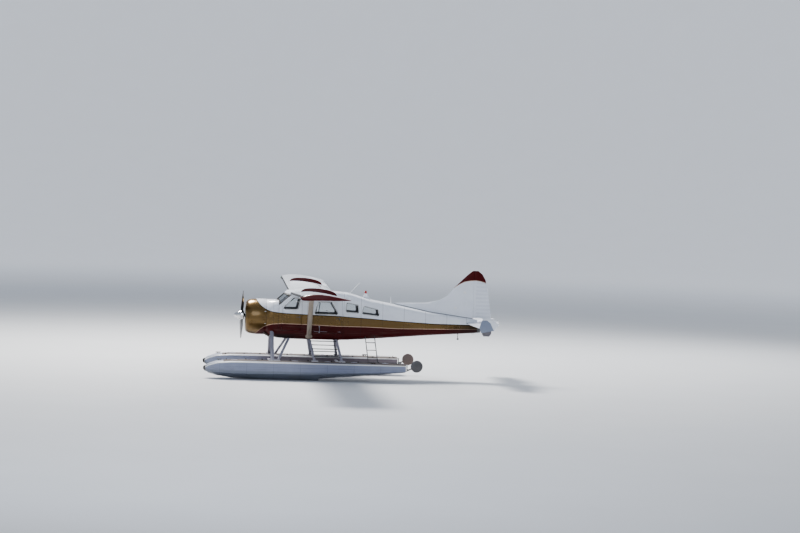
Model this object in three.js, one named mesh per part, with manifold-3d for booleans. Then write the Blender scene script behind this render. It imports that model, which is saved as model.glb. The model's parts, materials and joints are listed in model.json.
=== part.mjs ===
// A high-wing, single-engine utility aircraft on twin floats, at its real size in millimetres.
// +X is the aircraft's left, +Y is aft and +Z is up.
// Shapes are drawn in stations: x from the centre plane, s aft of the propeller, w above its shaft.
// The whole group is then set down with its keels on z = 0 and the middle of its length on y = 0.
import * as THREE from "three";
import { mergeVertices } from "three/addons/utils/BufferGeometryUtils.js";
import Module from "manifold-3d";

const wasm = await Module();
wasm.setup();

const GAP = 0.3;
const RUNNING_GAP = 9;
const DEG = Math.PI / 180;

// Overall sizes.
const KEEL_W = -2050;
const BOW_S = -1330;
const STERN_S = 8850;
const MIDDLE_S = 3720;

// Wing: a straight panel each side, drawn flat and then tilted and raised to its root.
const WING_CHORD = 1588;
const WING_HALF_SPAN = 7315;
const WING_THICKNESS = 0.13;
const WING_CAMBER = 0.02;
const WING_ROOT_X = 626;
const WING_LE_S = 1550;
const WING_LE_W = 830;
const DIHEDRAL = 2 * DEG;
const INCIDENCE = 2.5 * DEG;
const CONTROL_HINGE_CHORD = 0.76;
const FLAP_BAY = [70, 3220];
const AILERON_BAY = [3290, 6270];
const FENCE_SPAN = 3255;
const FENCE_THICKNESS = 8;
const FENCE_MIDDLE = 770;
const FENCE_HALF_LENGTH = 600;
const FENCE_FOOT = 20;
const FENCE_RISE = 235;
const FENCE_FULLNESS = 3.2;
const FENCE_SINK = 0.08;

// Cabin: inside faces of the floor, the walls and the ceiling.
const FLOOR_W = -600;
const CEILING_W = 700;
const WALL = 40;
const FIREWALL_S = 1190;
const CABIN_END_S = 3400;
const TAIL_END_S = 8080;
const NOSE_FRONT_S = 760;
const BULKHEAD_S = 4750;

// Windscreen panel: lower corner on the centre line, then the two edges that leave it.
const SCREEN_CORNER = new THREE.Vector3(0, 1119, 578);
const SCREEN_SILL = new THREE.Vector3(583, 107, -156);
const SCREEN_POST = new THREE.Vector3(0, 232, 219);
const SCREEN_THICKNESS = 30;
const SCREEN_RAIL = 34;

// Engine and propeller.
const COWL_RADIUS = 610;
const COWL_DROP = -30;
const CYLINDERS = 9;
const CYLINDER_S = 430;
const CYLINDER_FINS = 4;
const FIN_PITCH = 56;
const ROD_RADIUS = 12;
const BLADE_RADIUS = 1295;
const BLADE_ANGLE = 48 * DEG;
const BLADE_S = -52;
const SPINNER_LENGTH = 330;
const SPINNER_RADIUS = 160;

// Tail.
const FIN_HINGE_S = 7950;
const RUDDER_LOW_S = 8275;
const TAILPLANE_W = -75;
const TAILPLANE_HALF_SPAN = 2400;
const ELEVATOR_HINGE_S = 8140;
const ELEVATOR_REST = 15 * DEG;

// Floats.
const FLOAT_X = 1450;
const STEP_S = 2550;
const TRANSOM_S = 5480;
const RUDDER_POST_S = 5545;
const POST_LUGS = [-1486, -1660];
const RUDDER_PIVOT = [5597, -1624];
const RUDDER_RAISED = 24 * DEG;
const WATER_RUDDER_RADIUS = 200;
const WATER_RUDDER_REACH = 304;

const PAINT = {
  white: [0xf2f1ec, 0.25, 0.1],
  gold: [0x8c6c3c, 0.3, 0.5],
  maroon: [0x4b0a12, 0.3, 0.2],
  floatGrey: [0xb9c0cb, 0.4, 0.3],
  strutGrey: [0xc9c8c4, 0.45, 0.4],
  black: [0x111214, 0.6, 0],
  metal: [0x9a9a96, 0.35, 0.9],
  darkMetal: [0x3b3a38, 0.5, 0.8],
  glass: [0x9fb3bd, 0.05, 0],
  leather: [0x23211f, 0.7, 0],
};

// A closed mesh as a solid that can be joined and cut.
function solidOf(geometry) {
  const bare = geometry.clone();
  bare.deleteAttribute("normal");
  bare.deleteAttribute("uv");
  const merged = mergeVertices(bare, 1e-3);
  const mesh = new wasm.Mesh({
    numProp: 3,
    vertProperties: new Float32Array(merged.attributes.position.array),
    triVerts: new Uint32Array(merged.index.array),
  });
  return new wasm.Manifold(mesh);
}

function geometryOf(solid) {
  const mesh = solid.getMesh();
  const geometry = new THREE.BufferGeometry();
  geometry.setAttribute("position", new THREE.BufferAttribute(mesh.vertProperties, 3));
  geometry.setIndex(new THREE.BufferAttribute(mesh.triVerts, 1));
  geometry.computeVertexNormals();
  return geometry;
}

const moved = (solid, matrix) => solidOf(geometryOf(solid).applyMatrix4(matrix));
const shifted = (solid, x, s, w) => moved(solid, new THREE.Matrix4().makeTranslation(x, s, w));
const joined = (solids) => solids.reduce((sum, next) => sum.add(next));

// The same solid on the other side of the centre plane.
function mirrored(solid) {
  return solidOf(turnedRound(geometryOf(solid)).scale(-1, 1, 1));
}

function box(x0, x1, s0, s1, w0, w1) {
  const geometry = new THREE.BoxGeometry(x1 - x0, s1 - s0, w1 - w0);
  return solidOf(geometry.translate((x0 + x1) / 2, (s0 + s1) / 2, (w0 + w1) / 2));
}

// A closed mesh as a solid, with its faces turned round if they point inwards.
function facingOut(geometry) {
  const made = solidOf(geometry);
  return made.volume() > 0 ? made : solidOf(turnedRound(geometry));
}

function turnedRound(geometry) {
  const index = geometry.index.array;
  for (let i = 0; i < index.length; i += 3) {
    [index[i + 1], index[i + 2]] = [index[i + 2], index[i + 1]];
  }
  return geometry;
}

// A skin over closed sections of equal point counts, closed at both ends.
function loft(sections) {
  const count = sections[0].length;
  const points = sections.flat();
  const index = [];
  for (let k = 0; k < sections.length - 1; k += 1) {
    for (let i = 0; i < count; i += 1) {
      const a = k * count + i;
      const b = k * count + ((i + 1) % count);
      index.push(a, b, b + count, a, b + count, a + count);
    }
  }
  for (const [start, flip] of [[0, true], [(sections.length - 1) * count, false]]) {
    const centre = new THREE.Vector3();
    for (let i = 0; i < count; i += 1) centre.addScaledVector(points[start + i], 1 / count);
    points.push(centre);
    for (let i = 0; i < count; i += 1) {
      const pair = [start + i, start + ((i + 1) % count)];
      index.push(...(flip ? pair.reverse() : pair), points.length - 1);
    }
  }
  const geometry = new THREE.BufferGeometry().setFromPoints(points);
  geometry.setIndex(index);
  return facingOut(geometry);
}

// A plate drawn as [s, w] points and given its thickness across the aircraft.
function sidePlate(outline, x0, x1) {
  const shape = new THREE.Shape(outline.map(([s, w]) => new THREE.Vector2(s, w)));
  const geometry = new THREE.ExtrudeGeometry(shape, { depth: x1 - x0, bevelEnabled: false });
  const turn = new THREE.Matrix4().makeBasis(
    new THREE.Vector3(0, 1, 0),
    new THREE.Vector3(0, 0, 1),
    new THREE.Vector3(1, 0, 0),
  );
  return solidOf(geometry.applyMatrix4(turn).translate(x0, 0, 0));
}

// An outline with its corners rounded by short arcs.
function rounded(outline, radius, steps = 3) {
  const result = [];
  outline.forEach((corner, i) => {
    const here = new THREE.Vector2(...corner);
    const before = new THREE.Vector2(...outline.at(i - 1));
    const after = new THREE.Vector2(...outline[(i + 1) % outline.length]);
    const start = here.clone().add(before.sub(here).setLength(radius));
    const end = here.clone().add(after.sub(here).setLength(radius));
    const curve = new THREE.QuadraticBezierCurve(start, here, end);
    curve.getPoints(steps).forEach((p) => result.push([p.x, p.y]));
  });
  return result;
}

// A convex outline moved outwards by a distance, or inwards by a negative one.
function grown(outline, distance) {
  const area = THREE.ShapeUtils.area(outline.map(([s, w]) => new THREE.Vector2(s, w)));
  const sign = Math.sign(area);
  return outline.map((corner, i) => {
    const here = new THREE.Vector2(...corner);
    const inward = here.clone().sub(new THREE.Vector2(...outline.at(i - 1))).normalize();
    const onward = new THREE.Vector2(...outline[(i + 1) % outline.length]).sub(here).normalize();
    const n0 = new THREE.Vector2(inward.y, -inward.x).multiplyScalar(sign);
    const n1 = new THREE.Vector2(onward.y, -onward.x).multiplyScalar(sign);
    const reach = distance / (1 + n0.dot(n1));
    return [here.x + (n0.x + n1.x) * reach, here.y + (n0.y + n1.y) * reach];
  });
}

// A round bar between two points, thinner or thicker at its far end.
function bar(from, to, radius, endRadius = radius, sides = 10) {
  const start = new THREE.Vector3(...from);
  const way = new THREE.Vector3(...to).sub(start);
  const geometry = new THREE.CylinderGeometry(endRadius, radius, way.length(), sides);
  geometry.translate(0, way.length() / 2, 0);
  const turn = new THREE.Quaternion().setFromUnitVectors(
    new THREE.Vector3(0, 1, 0),
    way.clone().normalize(),
  );
  return solidOf(geometry.applyQuaternion(turn).translate(start.x, start.y, start.z));
}

// A streamlined strut between two points, its long axis fore and aft.
function strut(from, to, chord, thickness) {
  const start = new THREE.Vector3(...from);
  const end = new THREE.Vector3(...to);
  const aft = new THREE.Vector3(0, 1, 0);
  const side = end.clone().sub(start).cross(aft).normalize();
  const section = [[-0.5, 0], [-0.38, 0.36], [-0.12, 0.5], [0.2, 0.38], [0.5, 0.04]];
  const ring = [...section, ...section.slice(1).reverse().map(([c, t]) => [c, -t])];
  const at = (p) => ring.map(([c, t]) =>
    p.clone().addScaledVector(aft, c * chord).addScaledVector(side, t * thickness));
  return loft([at(start), at(end)]);
}

// A body of revolution about the line of flight, drawn as [radius, s] points.
function turned(profile, sides) {
  const points = profile.map(([r, s]) => new THREE.Vector2(r, s));
  if (profile[0][0] > 0) points.push(points[0].clone());
  return facingOut(new THREE.LatheGeometry(points, sides));
}

// Fuselage: each row is a rounded box section at one station.
const CORNER_STEPS = 4;
const FUSELAGE = [
  // s, half width, top w, bottom w, upper corner radius, lower corner radius
  [FIREWALL_S, 612, 900, -715, 60, 130],
  [1660, 625.7, 912, -735, 60, 130],
  [3150, 625.7, 888, -738, 60, 130],
  [3584, 603, 857, -722, 120, 140],
  [4302, 535, 660, -676, 170, 160],
  [5023, 462, 540, -620, 180, 170],
  [6385, 318, 283, -510, 150, 150],
  [7831, 128, 99, -412, 80, 90],
  [TAIL_END_S, 90, 60, -390, 60, 60],
];

function roundedSection(s, halfWidth, top, bottom, topRadius, bottomRadius) {
  const corners = [
    [halfWidth - topRadius, top - topRadius, topRadius, 0],
    [topRadius - halfWidth, top - topRadius, topRadius, 90],
    [bottomRadius - halfWidth, bottom + bottomRadius, bottomRadius, 180],
    [halfWidth - bottomRadius, bottom + bottomRadius, bottomRadius, 270],
  ];
  return corners.flatMap(([x, w, radius, turn]) =>
    Array.from({ length: CORNER_STEPS + 1 }, (_, i) => {
      const angle = (turn + (90 * i) / CORNER_STEPS) * DEG;
      return new THREE.Vector3(x + radius * Math.cos(angle), s, w + radius * Math.sin(angle));
    }));
}

function fuselage(inset, floor = null, rows = FUSELAGE) {
  return loft(rows.map(([s, half, top, bottom, r1, r2]) => roundedSection(
    s,
    half - inset,
    top - inset,
    floor === null ? bottom + inset : Math.max(bottom + inset, floor),
    Math.max(r1 - inset, 8),
    Math.max(r2 - inset, 8),
  )));
}

// The hollow of the cabin and the tail, drawn in by a clearance.
function cabinSpace(clearance) {
  return fuselage(WALL + clearance, FLOOR_W + clearance, FUSELAGE.slice(0, -1));
}

const hull = fuselage(0);
const skin = hull.subtract(shifted(cabinSpace(0), 0, -1, 0));

// Door and window outlines, as [s, w].
const FRONT_DOOR = [[1300, -440], [1975, -440], [1975, 688], [1645, 688], [1300, 343]];
const REAR_DOOR = [[2365, -500], [3345, -500], [3345, 600], [2365, 600]];
const FRONT_PANE = [[1318, 282], [1822, 284], [1905, 640], [1692, 650]];
const REAR_PANE = [[2410, 148], [3214, 140], [2968, 540], [2545, 545]];
const THIRD_PANE = [[3480, 240], [3915, 215], [3885, 470], [3500, 545]];
const FOURTH_PANE = [[4045, 188], [4622, 128], [4572, 330], [4092, 440]];
const DOOR_GAP = 6;
const PANE_RADIUS = 45;

const paneHole = (outline) => sidePlate(rounded(outline, PANE_RADIUS), -800, 800);
const paneSolid = fuselage(14).subtract(fuselage(20));
const leftHalf = box(1, 900, FIREWALL_S - 100, TAIL_END_S, -900, 1100);

function pane(outline) {
  const plug = sidePlate(rounded(grown(outline, -GAP), PANE_RADIUS), 0, 800);
  return paneSolid.intersect(plug);
}

// Two barrels, one over the other, on the line that a door turns about.
const DOOR_LINE_X = 636;
const BARREL_RADIUS = 9;
const BARREL_HEIGHT = 40;
function hingeBarrel(s, w, reach) {
  const barrel = bar([DOOR_LINE_X, s, w], [DOOR_LINE_X, s, w + BARREL_HEIGHT], BARREL_RADIUS);
  const leaf = box(604, DOOR_LINE_X, Math.min(s, s + reach), Math.max(s, s + reach), w, w + BARREL_HEIGHT);
  return barrel.add(leaf);
}

// [door outline, pane outline, station of the hinge line, heights of its hinges]
const DOORS = {
  front: [FRONT_DOOR, FRONT_PANE, 1292, [-340, 250]],
  rear: [REAR_DOOR, REAR_PANE, 2357, [-400, 380]],
};
const LEAF = 34;

function door(name) {
  const [outline, window, hingeS, heights] = DOORS[name];
  const panel = skin.intersect(leftHalf)
    .intersect(sidePlate(rounded(outline, 30), 0, 800))
    .subtract(paneHole(window));
  return joined([
    panel,
    ...heights.map((w) => hingeBarrel(hingeS, w + BARREL_HEIGHT + GAP, LEAF)),
  ]);
}

function cabinSide() {
  const above = 400;
  const slope = SCREEN_POST.z / SCREEN_POST.y;
  const sill = SCREEN_CORNER.clone().add(SCREEN_SILL);
  const post = [
    [FIREWALL_S - 100, sill.z - 10 - 110 * slope],
    [sill.y + above / slope, sill.z - 10 + above],
    [FIREWALL_S - 100, sill.z + above],
  ];
  let side = skin
    .intersect(box(300, 900, FIREWALL_S + GAP, CABIN_END_S - GAP, FLOOR_W + GAP, CEILING_W - GAP))
    .subtract(sidePlate(post, 0, 800));
  for (const [outline, , hingeS, heights] of Object.values(DOORS)) {
    side = side.subtract(sidePlate(rounded(grown(outline, DOOR_GAP), 30), 0, 800));
    for (const w of heights) {
      const pocket = box(580, 640, hingeS - 1, hingeS + LEAF + 4, w - 4, w + 2 * BARREL_HEIGHT + 4);
      side = side.subtract(pocket).add(hingeBarrel(hingeS, w, -LEAF));
    }
  }
  return side;
}

function cabinFloor() {
  return hull.intersect(box(-900, 900, FIREWALL_S + GAP, CABIN_END_S - GAP, -900, FLOOR_W));
}

// Airfoil outline with its nose at 0, 0, as [s, w].
function airfoil(chord, thickness, camber, steps = 9) {
  const half = (x) => 5 * thickness * (0.2969 * Math.sqrt(x) - 0.126 * x
    - 0.3516 * x ** 2 + 0.2843 * x ** 3 - 0.1015 * x ** 4);
  const mean = (x) => (x < 0.4
    ? (camber / 0.16) * (0.8 * x - x * x)
    : (camber / 0.36) * (0.2 + 0.8 * x - x * x));
  const stops = Array.from({ length: steps + 1 }, (_, i) =>
    (1 - Math.cos((Math.PI * i) / steps)) / 2);
  const upper = stops.map((x) => [x * chord, (mean(x) + half(x)) * chord]);
  const lower = stops.slice(1).reverse().map((x) => [x * chord, (mean(x) - half(x)) * chord]);
  return [...upper, ...lower];
}

// The fixed wing frame: flat panel to its place on the cabin roof.
const wingFrame = new THREE.Matrix4()
  .makeTranslation(WING_ROOT_X, WING_LE_S, WING_LE_W)
  .multiply(new THREE.Matrix4().makeRotationY(-DIHEDRAL))
  .multiply(new THREE.Matrix4().makeRotationX(-INCIDENCE));

const WING_PANEL = WING_HALF_SPAN - WING_ROOT_X;
const WING_SECTIONS = [
  // span place, nose set back, tail drawn in, thickness share, droop of the nose
  [-12, 0, 0, 1, 0],
  [WING_PANEL - 400, 0, 0, 1, 0],
  [WING_PANEL - 130, 4, 8, 0.99, 36],
  [WING_PANEL - 40, 16, 34, 0.94, 62],
  [WING_PANEL + 4, 62, 96, 0.72, 74],
];
const DROOP_SPAN = 0.45;

function wingPanel() {
  return loft(WING_SECTIONS.map(([x, nose, tail, share, droop]) => {
    const chord = WING_CHORD - nose - tail;
    const thick = (WING_THICKNESS * share * WING_CHORD) / chord;
    return airfoil(chord, thick, WING_CAMBER).map(([s, w]) => {
      const drop = droop * Math.max(0, 1 - s / chord / DROOP_SPAN) ** 2;
      return new THREE.Vector3(x, s + nose, w - drop - droop * 0.3);
    });
  }));
}

// Middle of the airfoil's thickness and its half depth at the control hinge.
const HINGE_S = CONTROL_HINGE_CHORD * WING_CHORD;
const HINGE_W = 20;
const HINGE_NOSE = 52;

// Cuts a control surface out of a panel, with its nose rolled about the hinge line.
function controlCut(panel, bay) {
  const [x0, x1] = bay;
  const nose = bar([x0, HINGE_S, HINGE_W], [x1, HINGE_S, HINGE_W], HINGE_NOSE, HINGE_NOSE, 20);
  const well = bar(
    [x0 - RUNNING_GAP, HINGE_S, HINGE_W],
    [x1 + RUNNING_GAP, HINGE_S, HINGE_W],
    HINGE_NOSE + RUNNING_GAP,
    HINGE_NOSE + RUNNING_GAP,
    20,
  );
  const aft = box(x0 - RUNNING_GAP, x1 + RUNNING_GAP, HINGE_S, WING_CHORD + 50, -300, 300);
  const blade = panel.intersect(box(x0, x1, HINGE_S, WING_CHORD + 50, -300, 300));
  let surface = blade.add(nose.intersect(panel));
  let fixed = panel.subtract(well).subtract(aft);
  for (const x of [x0 + 260, x1 - 260]) {
    const reach = HINGE_NOSE + RUNNING_GAP + 20;
    const arm = box(x - 6, x + 6, HINGE_S - reach, HINGE_S, HINGE_W - 18, HINGE_W + 18)
      .add(bar([x - 6, HINGE_S, HINGE_W], [x + 6, HINGE_S, HINGE_W], 18));
    surface = surface.subtract(box(x - 6.5, x + 6.5, HINGE_S - 100, HINGE_S + 28, -300, 300));
    fixed = fixed.add(arm);
  }
  return [fixed, surface];
}

// The fence stands over the chord line in a full arc that sinks a little towards the tail.
function fence() {
  const steps = 18;
  const outline = Array.from({ length: steps + 1 }, (_, i) => {
    const share = -Math.cos((Math.PI * i) / steps);
    const rise = (1 - Math.abs(share) ** FENCE_FULLNESS) ** (1 / FENCE_FULLNESS);
    const past = FENCE_HALF_LENGTH * share;
    const w = FENCE_FOOT + FENCE_RISE * rise - FENCE_SINK * Math.max(0, past);
    return [FENCE_MIDDLE + past, Math.max(w, 5)];
  });
  return sidePlate(outline, FENCE_SPAN - FENCE_THICKNESS / 2, FENCE_SPAN + FENCE_THICKNESS / 2);
}

function wingParts(roof) {
  const [withFlap, flap] = controlCut(wingPanel(), FLAP_BAY);
  const [fixed, aileron] = controlCut(withFlap, AILERON_BAY);
  const place = (solid) => moved(solid, wingFrame);
  const wing = [hull, roof].reduce(
    (left, other) => left.subtract(shifted(other, GAP, 0, 0)),
    place(fixed.add(fence())),
  );
  return { wing, flap: place(flap), aileron: place(aileron) };
}

function windscreenFrame() {
  const along = SCREEN_SILL.clone().normalize();
  const normal = SCREEN_SILL.clone().cross(SCREEN_POST).normalize();
  return new THREE.Matrix4()
    .makeBasis(along, normal.clone().cross(along), normal)
    .setPosition(SCREEN_CORNER);
}

// The left windscreen panel in its own plane, as [along the sill, up the screen].
function screenOutline() {
  const back = windscreenFrame().invert();
  const outerTop = SCREEN_SILL.clone().multiplyScalar(0.03)
    .addScaledVector(SCREEN_POST, 1.6);
  return [
    new THREE.Vector3(),
    SCREEN_SILL.clone(),
    SCREEN_SILL.clone().add(outerTop),
    SCREEN_POST.clone().multiplyScalar(1.04),
  ].map((p) => p.add(SCREEN_CORNER).applyMatrix4(back)).map((p) => [p.x, p.y]);
}

function screenPlate(outline, z0, z1) {
  const shape = new THREE.Shape(outline.map(([x, y]) => new THREE.Vector2(x, y)));
  const geometry = new THREE.ExtrudeGeometry(shape, { depth: z1 - z0, bevelEnabled: false });
  return solidOf(geometry.translate(0, 0, z0).applyMatrix4(windscreenFrame()));
}

function windscreen(roof, nose, sides) {
  const outline = screenOutline();
  const hole = grown(outline, -SCREEN_RAIL);
  const opening = (edge, z0, z1, rise) =>
    screenPlate(edge, z0, z1).subtract(shifted(nose, 0, 0, rise)).subtract(nose);
  const panel = screenPlate(grown(outline, 8), -SCREEN_THICKNESS, 0)
    .intersect(box(-0.01, 900, 900, 2000, 0, 1100))
    .subtract(opening(hole, -100, 100, SCREEN_RAIL));
  let frame = panel.add(mirrored(panel));
  const widened = shifted(sides, GAP, 0, 0).add(shifted(sides, -GAP, 0, 0));
  const near = [[roof, -GAP, 0], [nose, 0, GAP], [sides, -GAP, GAP], [widened, 0, 0]];
  for (const [other, s, w] of near) {
    frame = frame.subtract(shifted(other, 0, s, w)).subtract(other);
  }
  const glass = opening(grown(hole, -GAP), -16, -10, SCREEN_RAIL + GAP)
    .subtract(shifted(roof, 0, -GAP, 0)).subtract(roof);
  return { frame: largest(frame), glass: largest(glass) };
}

const largest = (solid) =>
  solid.decompose().reduce((best, next) => (next.volume() > best.volume() ? next : best));

function cabinRoof() {
  const slab = hull.intersect(box(-900, 900, 1180, CABIN_END_S - GAP, CEILING_W, 1100))
    .subtract(box(-560, 560, 1000, WING_LE_S, CEILING_W - 10, CEILING_W + 95));
  const ahead = screenPlate(grown(screenOutline(), 900), -2, 900);
  const brow = sidePlate(airfoil(WING_CHORD, WING_THICKNESS, WING_CAMBER), -625, 625);
  const tilt = new THREE.Matrix4()
    .makeTranslation(0, WING_LE_S, WING_LE_W)
    .multiply(new THREE.Matrix4().makeRotationX(-INCIDENCE));
  const centre = moved(brow, tilt).intersect(box(-900, 900, 1000, 3000, CEILING_W + 10, 1100));
  return slab.subtract(ahead).subtract(mirrored(ahead)).add(centre);
}

const NOSE_SECTIONS = [
  // s, half width, top w, bottom w, upper corner radius, lower corner radius
  [NOSE_FRONT_S, 603, 572, -636, 590, 590],
  [970, 608, 562, -688, 380, 420],
  [FIREWALL_S, 612, 556, -715, 210, 130],
];

// Rocker box and push rod on one side of a cylinder that stands along +s, with the propeller at +w.
function rockerDrive(side) {
  const [low, high] = [46 * side, 76 * side].sort((a, b) => a - b);
  const rocker = box(low, high, 462, 524, -62, 58);
  const rod = bar([30 * side, 180, 112], [58 * side, 480, 44], ROD_RADIUS, ROD_RADIUS, 6);
  return [rocker, rod];
}

// Radial engine: a turned crankcase with finned cylinders around it.
function engine() {
  const backFace = NOSE_FRONT_S - GAP;
  const crankcase = turned([
    [0, 62], [58, 62], [72, 120], [150, 170], [185, 250], [215, 300],
    [225, 540], [330, 570], [330, backFace], [0, backFace],
  ], 18);
  const parts = [crankcase];
  const finned = [[0, 150], [62, 150], [62, 230]];
  for (let i = 0; i < CYLINDER_FINS; i += 1) {
    const foot = 250 + i * FIN_PITCH;
    finned.push([80, foot + 8], [80, foot + 22], [62, foot + 30]);
  }
  finned.push([84, 486], [70, 522], [0, 522]);
  const cylinder = joined([turned(finned, 8), ...[-1, 1].flatMap(rockerDrive)]);
  for (let i = 0; i < CYLINDERS; i += 1) {
    const angle = (360 / CYLINDERS) * i * DEG;
    const up = new THREE.Matrix4().makeTranslation(0, CYLINDER_S, 0)
      .multiply(new THREE.Matrix4().makeRotationY(angle))
      .multiply(new THREE.Matrix4().makeRotationX(90 * DEG));
    parts.push(moved(cylinder, up));
  }
  return joined(parts);
}

function cowlRing() {
  const rear = NOSE_FRONT_S - GAP;
  const ring = turned([
    [426, 190], [430, 120], [448, 78], [478, 66], [518, 86], [556, 134], [586, 210], [603, 310],
    [COWL_RADIUS, 430], [COWL_RADIUS, rear], [595, rear], [595, 430], [584, 300],
    [548, 190], [492, 150], [452, 200],
  ], 30);
  return shifted(ring, 0, 0, COWL_DROP);
}

function exhaust(nose, cowl) {
  const from = [270, 690, -560];
  const to = [270, 960, -700];
  const bore = bar([270, 880, -658.5], [270, 1040, -741.5], 36, 36, 14);
  const pipe = bar(from, to, 44, 44, 14).subtract(bore);
  return largest(pipe
    .subtract(shifted(nose, 0, 0, -GAP)).subtract(shifted(cowl, 0, 0, -GAP))
    .subtract(shifted(cowl, 0, GAP, -GAP)));
}

// One blade along +x, with its hub end at the shaft.
const BLADE_SECTIONS = [
  // radius, chord, thickness, pitch in degrees
  [90, 90, 80, 48],
  [260, 130, 50, 44],
  [480, 200, 30, 34],
  [800, 205, 20, 24],
  [1100, 170, 14, 18],
  [1250, 110, 9, 16],
  [BLADE_RADIUS, 44, 5, 15],
];

function blade() {
  const section = [
    [-0.5, 0], [-0.3, 0.42], [0, 0.5], [0.3, 0.3],
    [0.5, 0], [0.3, -0.3], [0, -0.5], [-0.3, -0.42],
  ];
  return loft(BLADE_SECTIONS.map(([radius, chord, thick, pitch]) => {
    const cos = Math.cos(pitch * DEG);
    const sin = Math.sin(pitch * DEG);
    return section.map(([c, t]) => new THREE.Vector3(
      radius,
      c * chord * sin + t * thick * cos,
      c * chord * cos - t * thick * sin,
    ));
  }));
}

function propeller() {
  const hub = turned([
    [0, -SPINNER_LENGTH], [30, -322], [70, -285], [112, -210], [146, -130],
    [SPINNER_RADIUS, -60], [SPINNER_RADIUS, 20], [110, 24], [60, 30], [60, 62 - GAP], [0, 62 - GAP],
  ], 24);
  const turn = new THREE.Matrix4().makeTranslation(0, BLADE_S, 0)
    .multiply(new THREE.Matrix4().makeRotationY(BLADE_ANGLE - 90 * DEG));
  const upper = moved(blade(), turn);
  const lower = moved(upper, new THREE.Matrix4().makeRotationY(Math.PI));
  return joined([hub, upper, lower]);
}

// Fin and rudder outlines, as [s, w].
const FIN_NOSE = [
  // w, s of the leading edge, half thickness
  [-60, 5150, 42],
  [565, 5200, 40],
  [600, 6250, 38],
  [712, 6774, 36],
  [871, 7016, 34],
  [1162, 7257, 31],
  [1469, 7567, 27],
  [1651, 7756, 24],
  [1748, 7880, 21],
];
const RUDDER = [
  [FIN_HINGE_S, 130], [FIN_HINGE_S, 1752], [8074, 1751], [8221, 1631], [8333, 1440],
  [8440, 983], [8552, 279], [8592, -180], [8598, -420], [8520, -510], [8330, -510],
  [RUDDER_LOW_S, -440], [RUDDER_LOW_S, 100], [8190, 130],
];
const RUDDER_NOSE = [44, 26];

function finRow([w, nose, half]) {
  const end = FIN_HINGE_S;
  const length = end - nose;
  return [[0, 0.06], [0.06, 0.5], [0.25, 1], [1, 1]]
    .flatMap(([t, share]) => [[nose + t * length, half * share]])
    .concat([[1, 1], [0.25, 1], [0.06, 0.5], [0, 0.06]]
      .map(([t, share]) => [nose + t * length, -half * share]))
    .map(([s, x]) => new THREE.Vector3(x, s, w));
}

function tailFin() {
  const [halfX, halfS] = RUDDER_NOSE.map((half) => half + RUNNING_GAP);
  const well = bar([0, FIN_HINGE_S, 100], [0, FIN_HINGE_S, 1800], halfX, halfS, 20);
  let fin = loft(FIN_NOSE.map(finRow)).subtract(well)
    .subtract(box(-200, 200, FIN_HINGE_S - 8, 9000, -900, 2000));
  for (const w of [420, 1400]) {
    fin = fin.add(box(-17, 17, FIN_HINGE_S - 90, FIN_HINGE_S, w - 6, w + 6))
      .add(bar([0, FIN_HINGE_S, w - 6], [0, FIN_HINGE_S, w + 6], 17));
  }
  return largest(fin.subtract(shifted(hull, 0, 0, GAP)).subtract(hull));
}

function rudder() {
  const wedge = loft([[-600, RUDDER_NOSE[0]], [1800, RUDDER_NOSE[1]]].map(([w, half]) => [
    new THREE.Vector3(half, FIN_HINGE_S, w),
    new THREE.Vector3(5, 8640, w),
    new THREE.Vector3(-5, 8640, w),
    new THREE.Vector3(-half, FIN_HINGE_S, w),
  ]));
  const nose = bar([0, FIN_HINGE_S, 130], [0, FIN_HINGE_S, 1752], RUDDER_NOSE[0], RUDDER_NOSE[1], 20);
  let blade = sidePlate(RUDDER, -100, 100).intersect(wedge).add(nose);
  for (const w of [420, 1400]) {
    blade = blade.subtract(box(-100, 100, FIN_HINGE_S - 100, FIN_HINGE_S + 26, w - 6.5, w + 6.5));
  }
  return blade;
}

const TAILPLANE_SECTIONS = [
  // x, leading edge s, trailing edge s, thickness
  [-TAILPLANE_HALF_SPAN, 7830, 8505, 66],
  [0, 7700, STERN_S, 118],
  [TAILPLANE_HALF_SPAN, 7830, 8505, 66],
];
const FINLET = [[7830, -60], [7915, 187], [8280, 190], [8500, 62], [8330, -150], [7895, -240]];
const ELEVATOR_NOSE = [56, 32];
const ELEVATOR_ROOT_X = 140;

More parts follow.
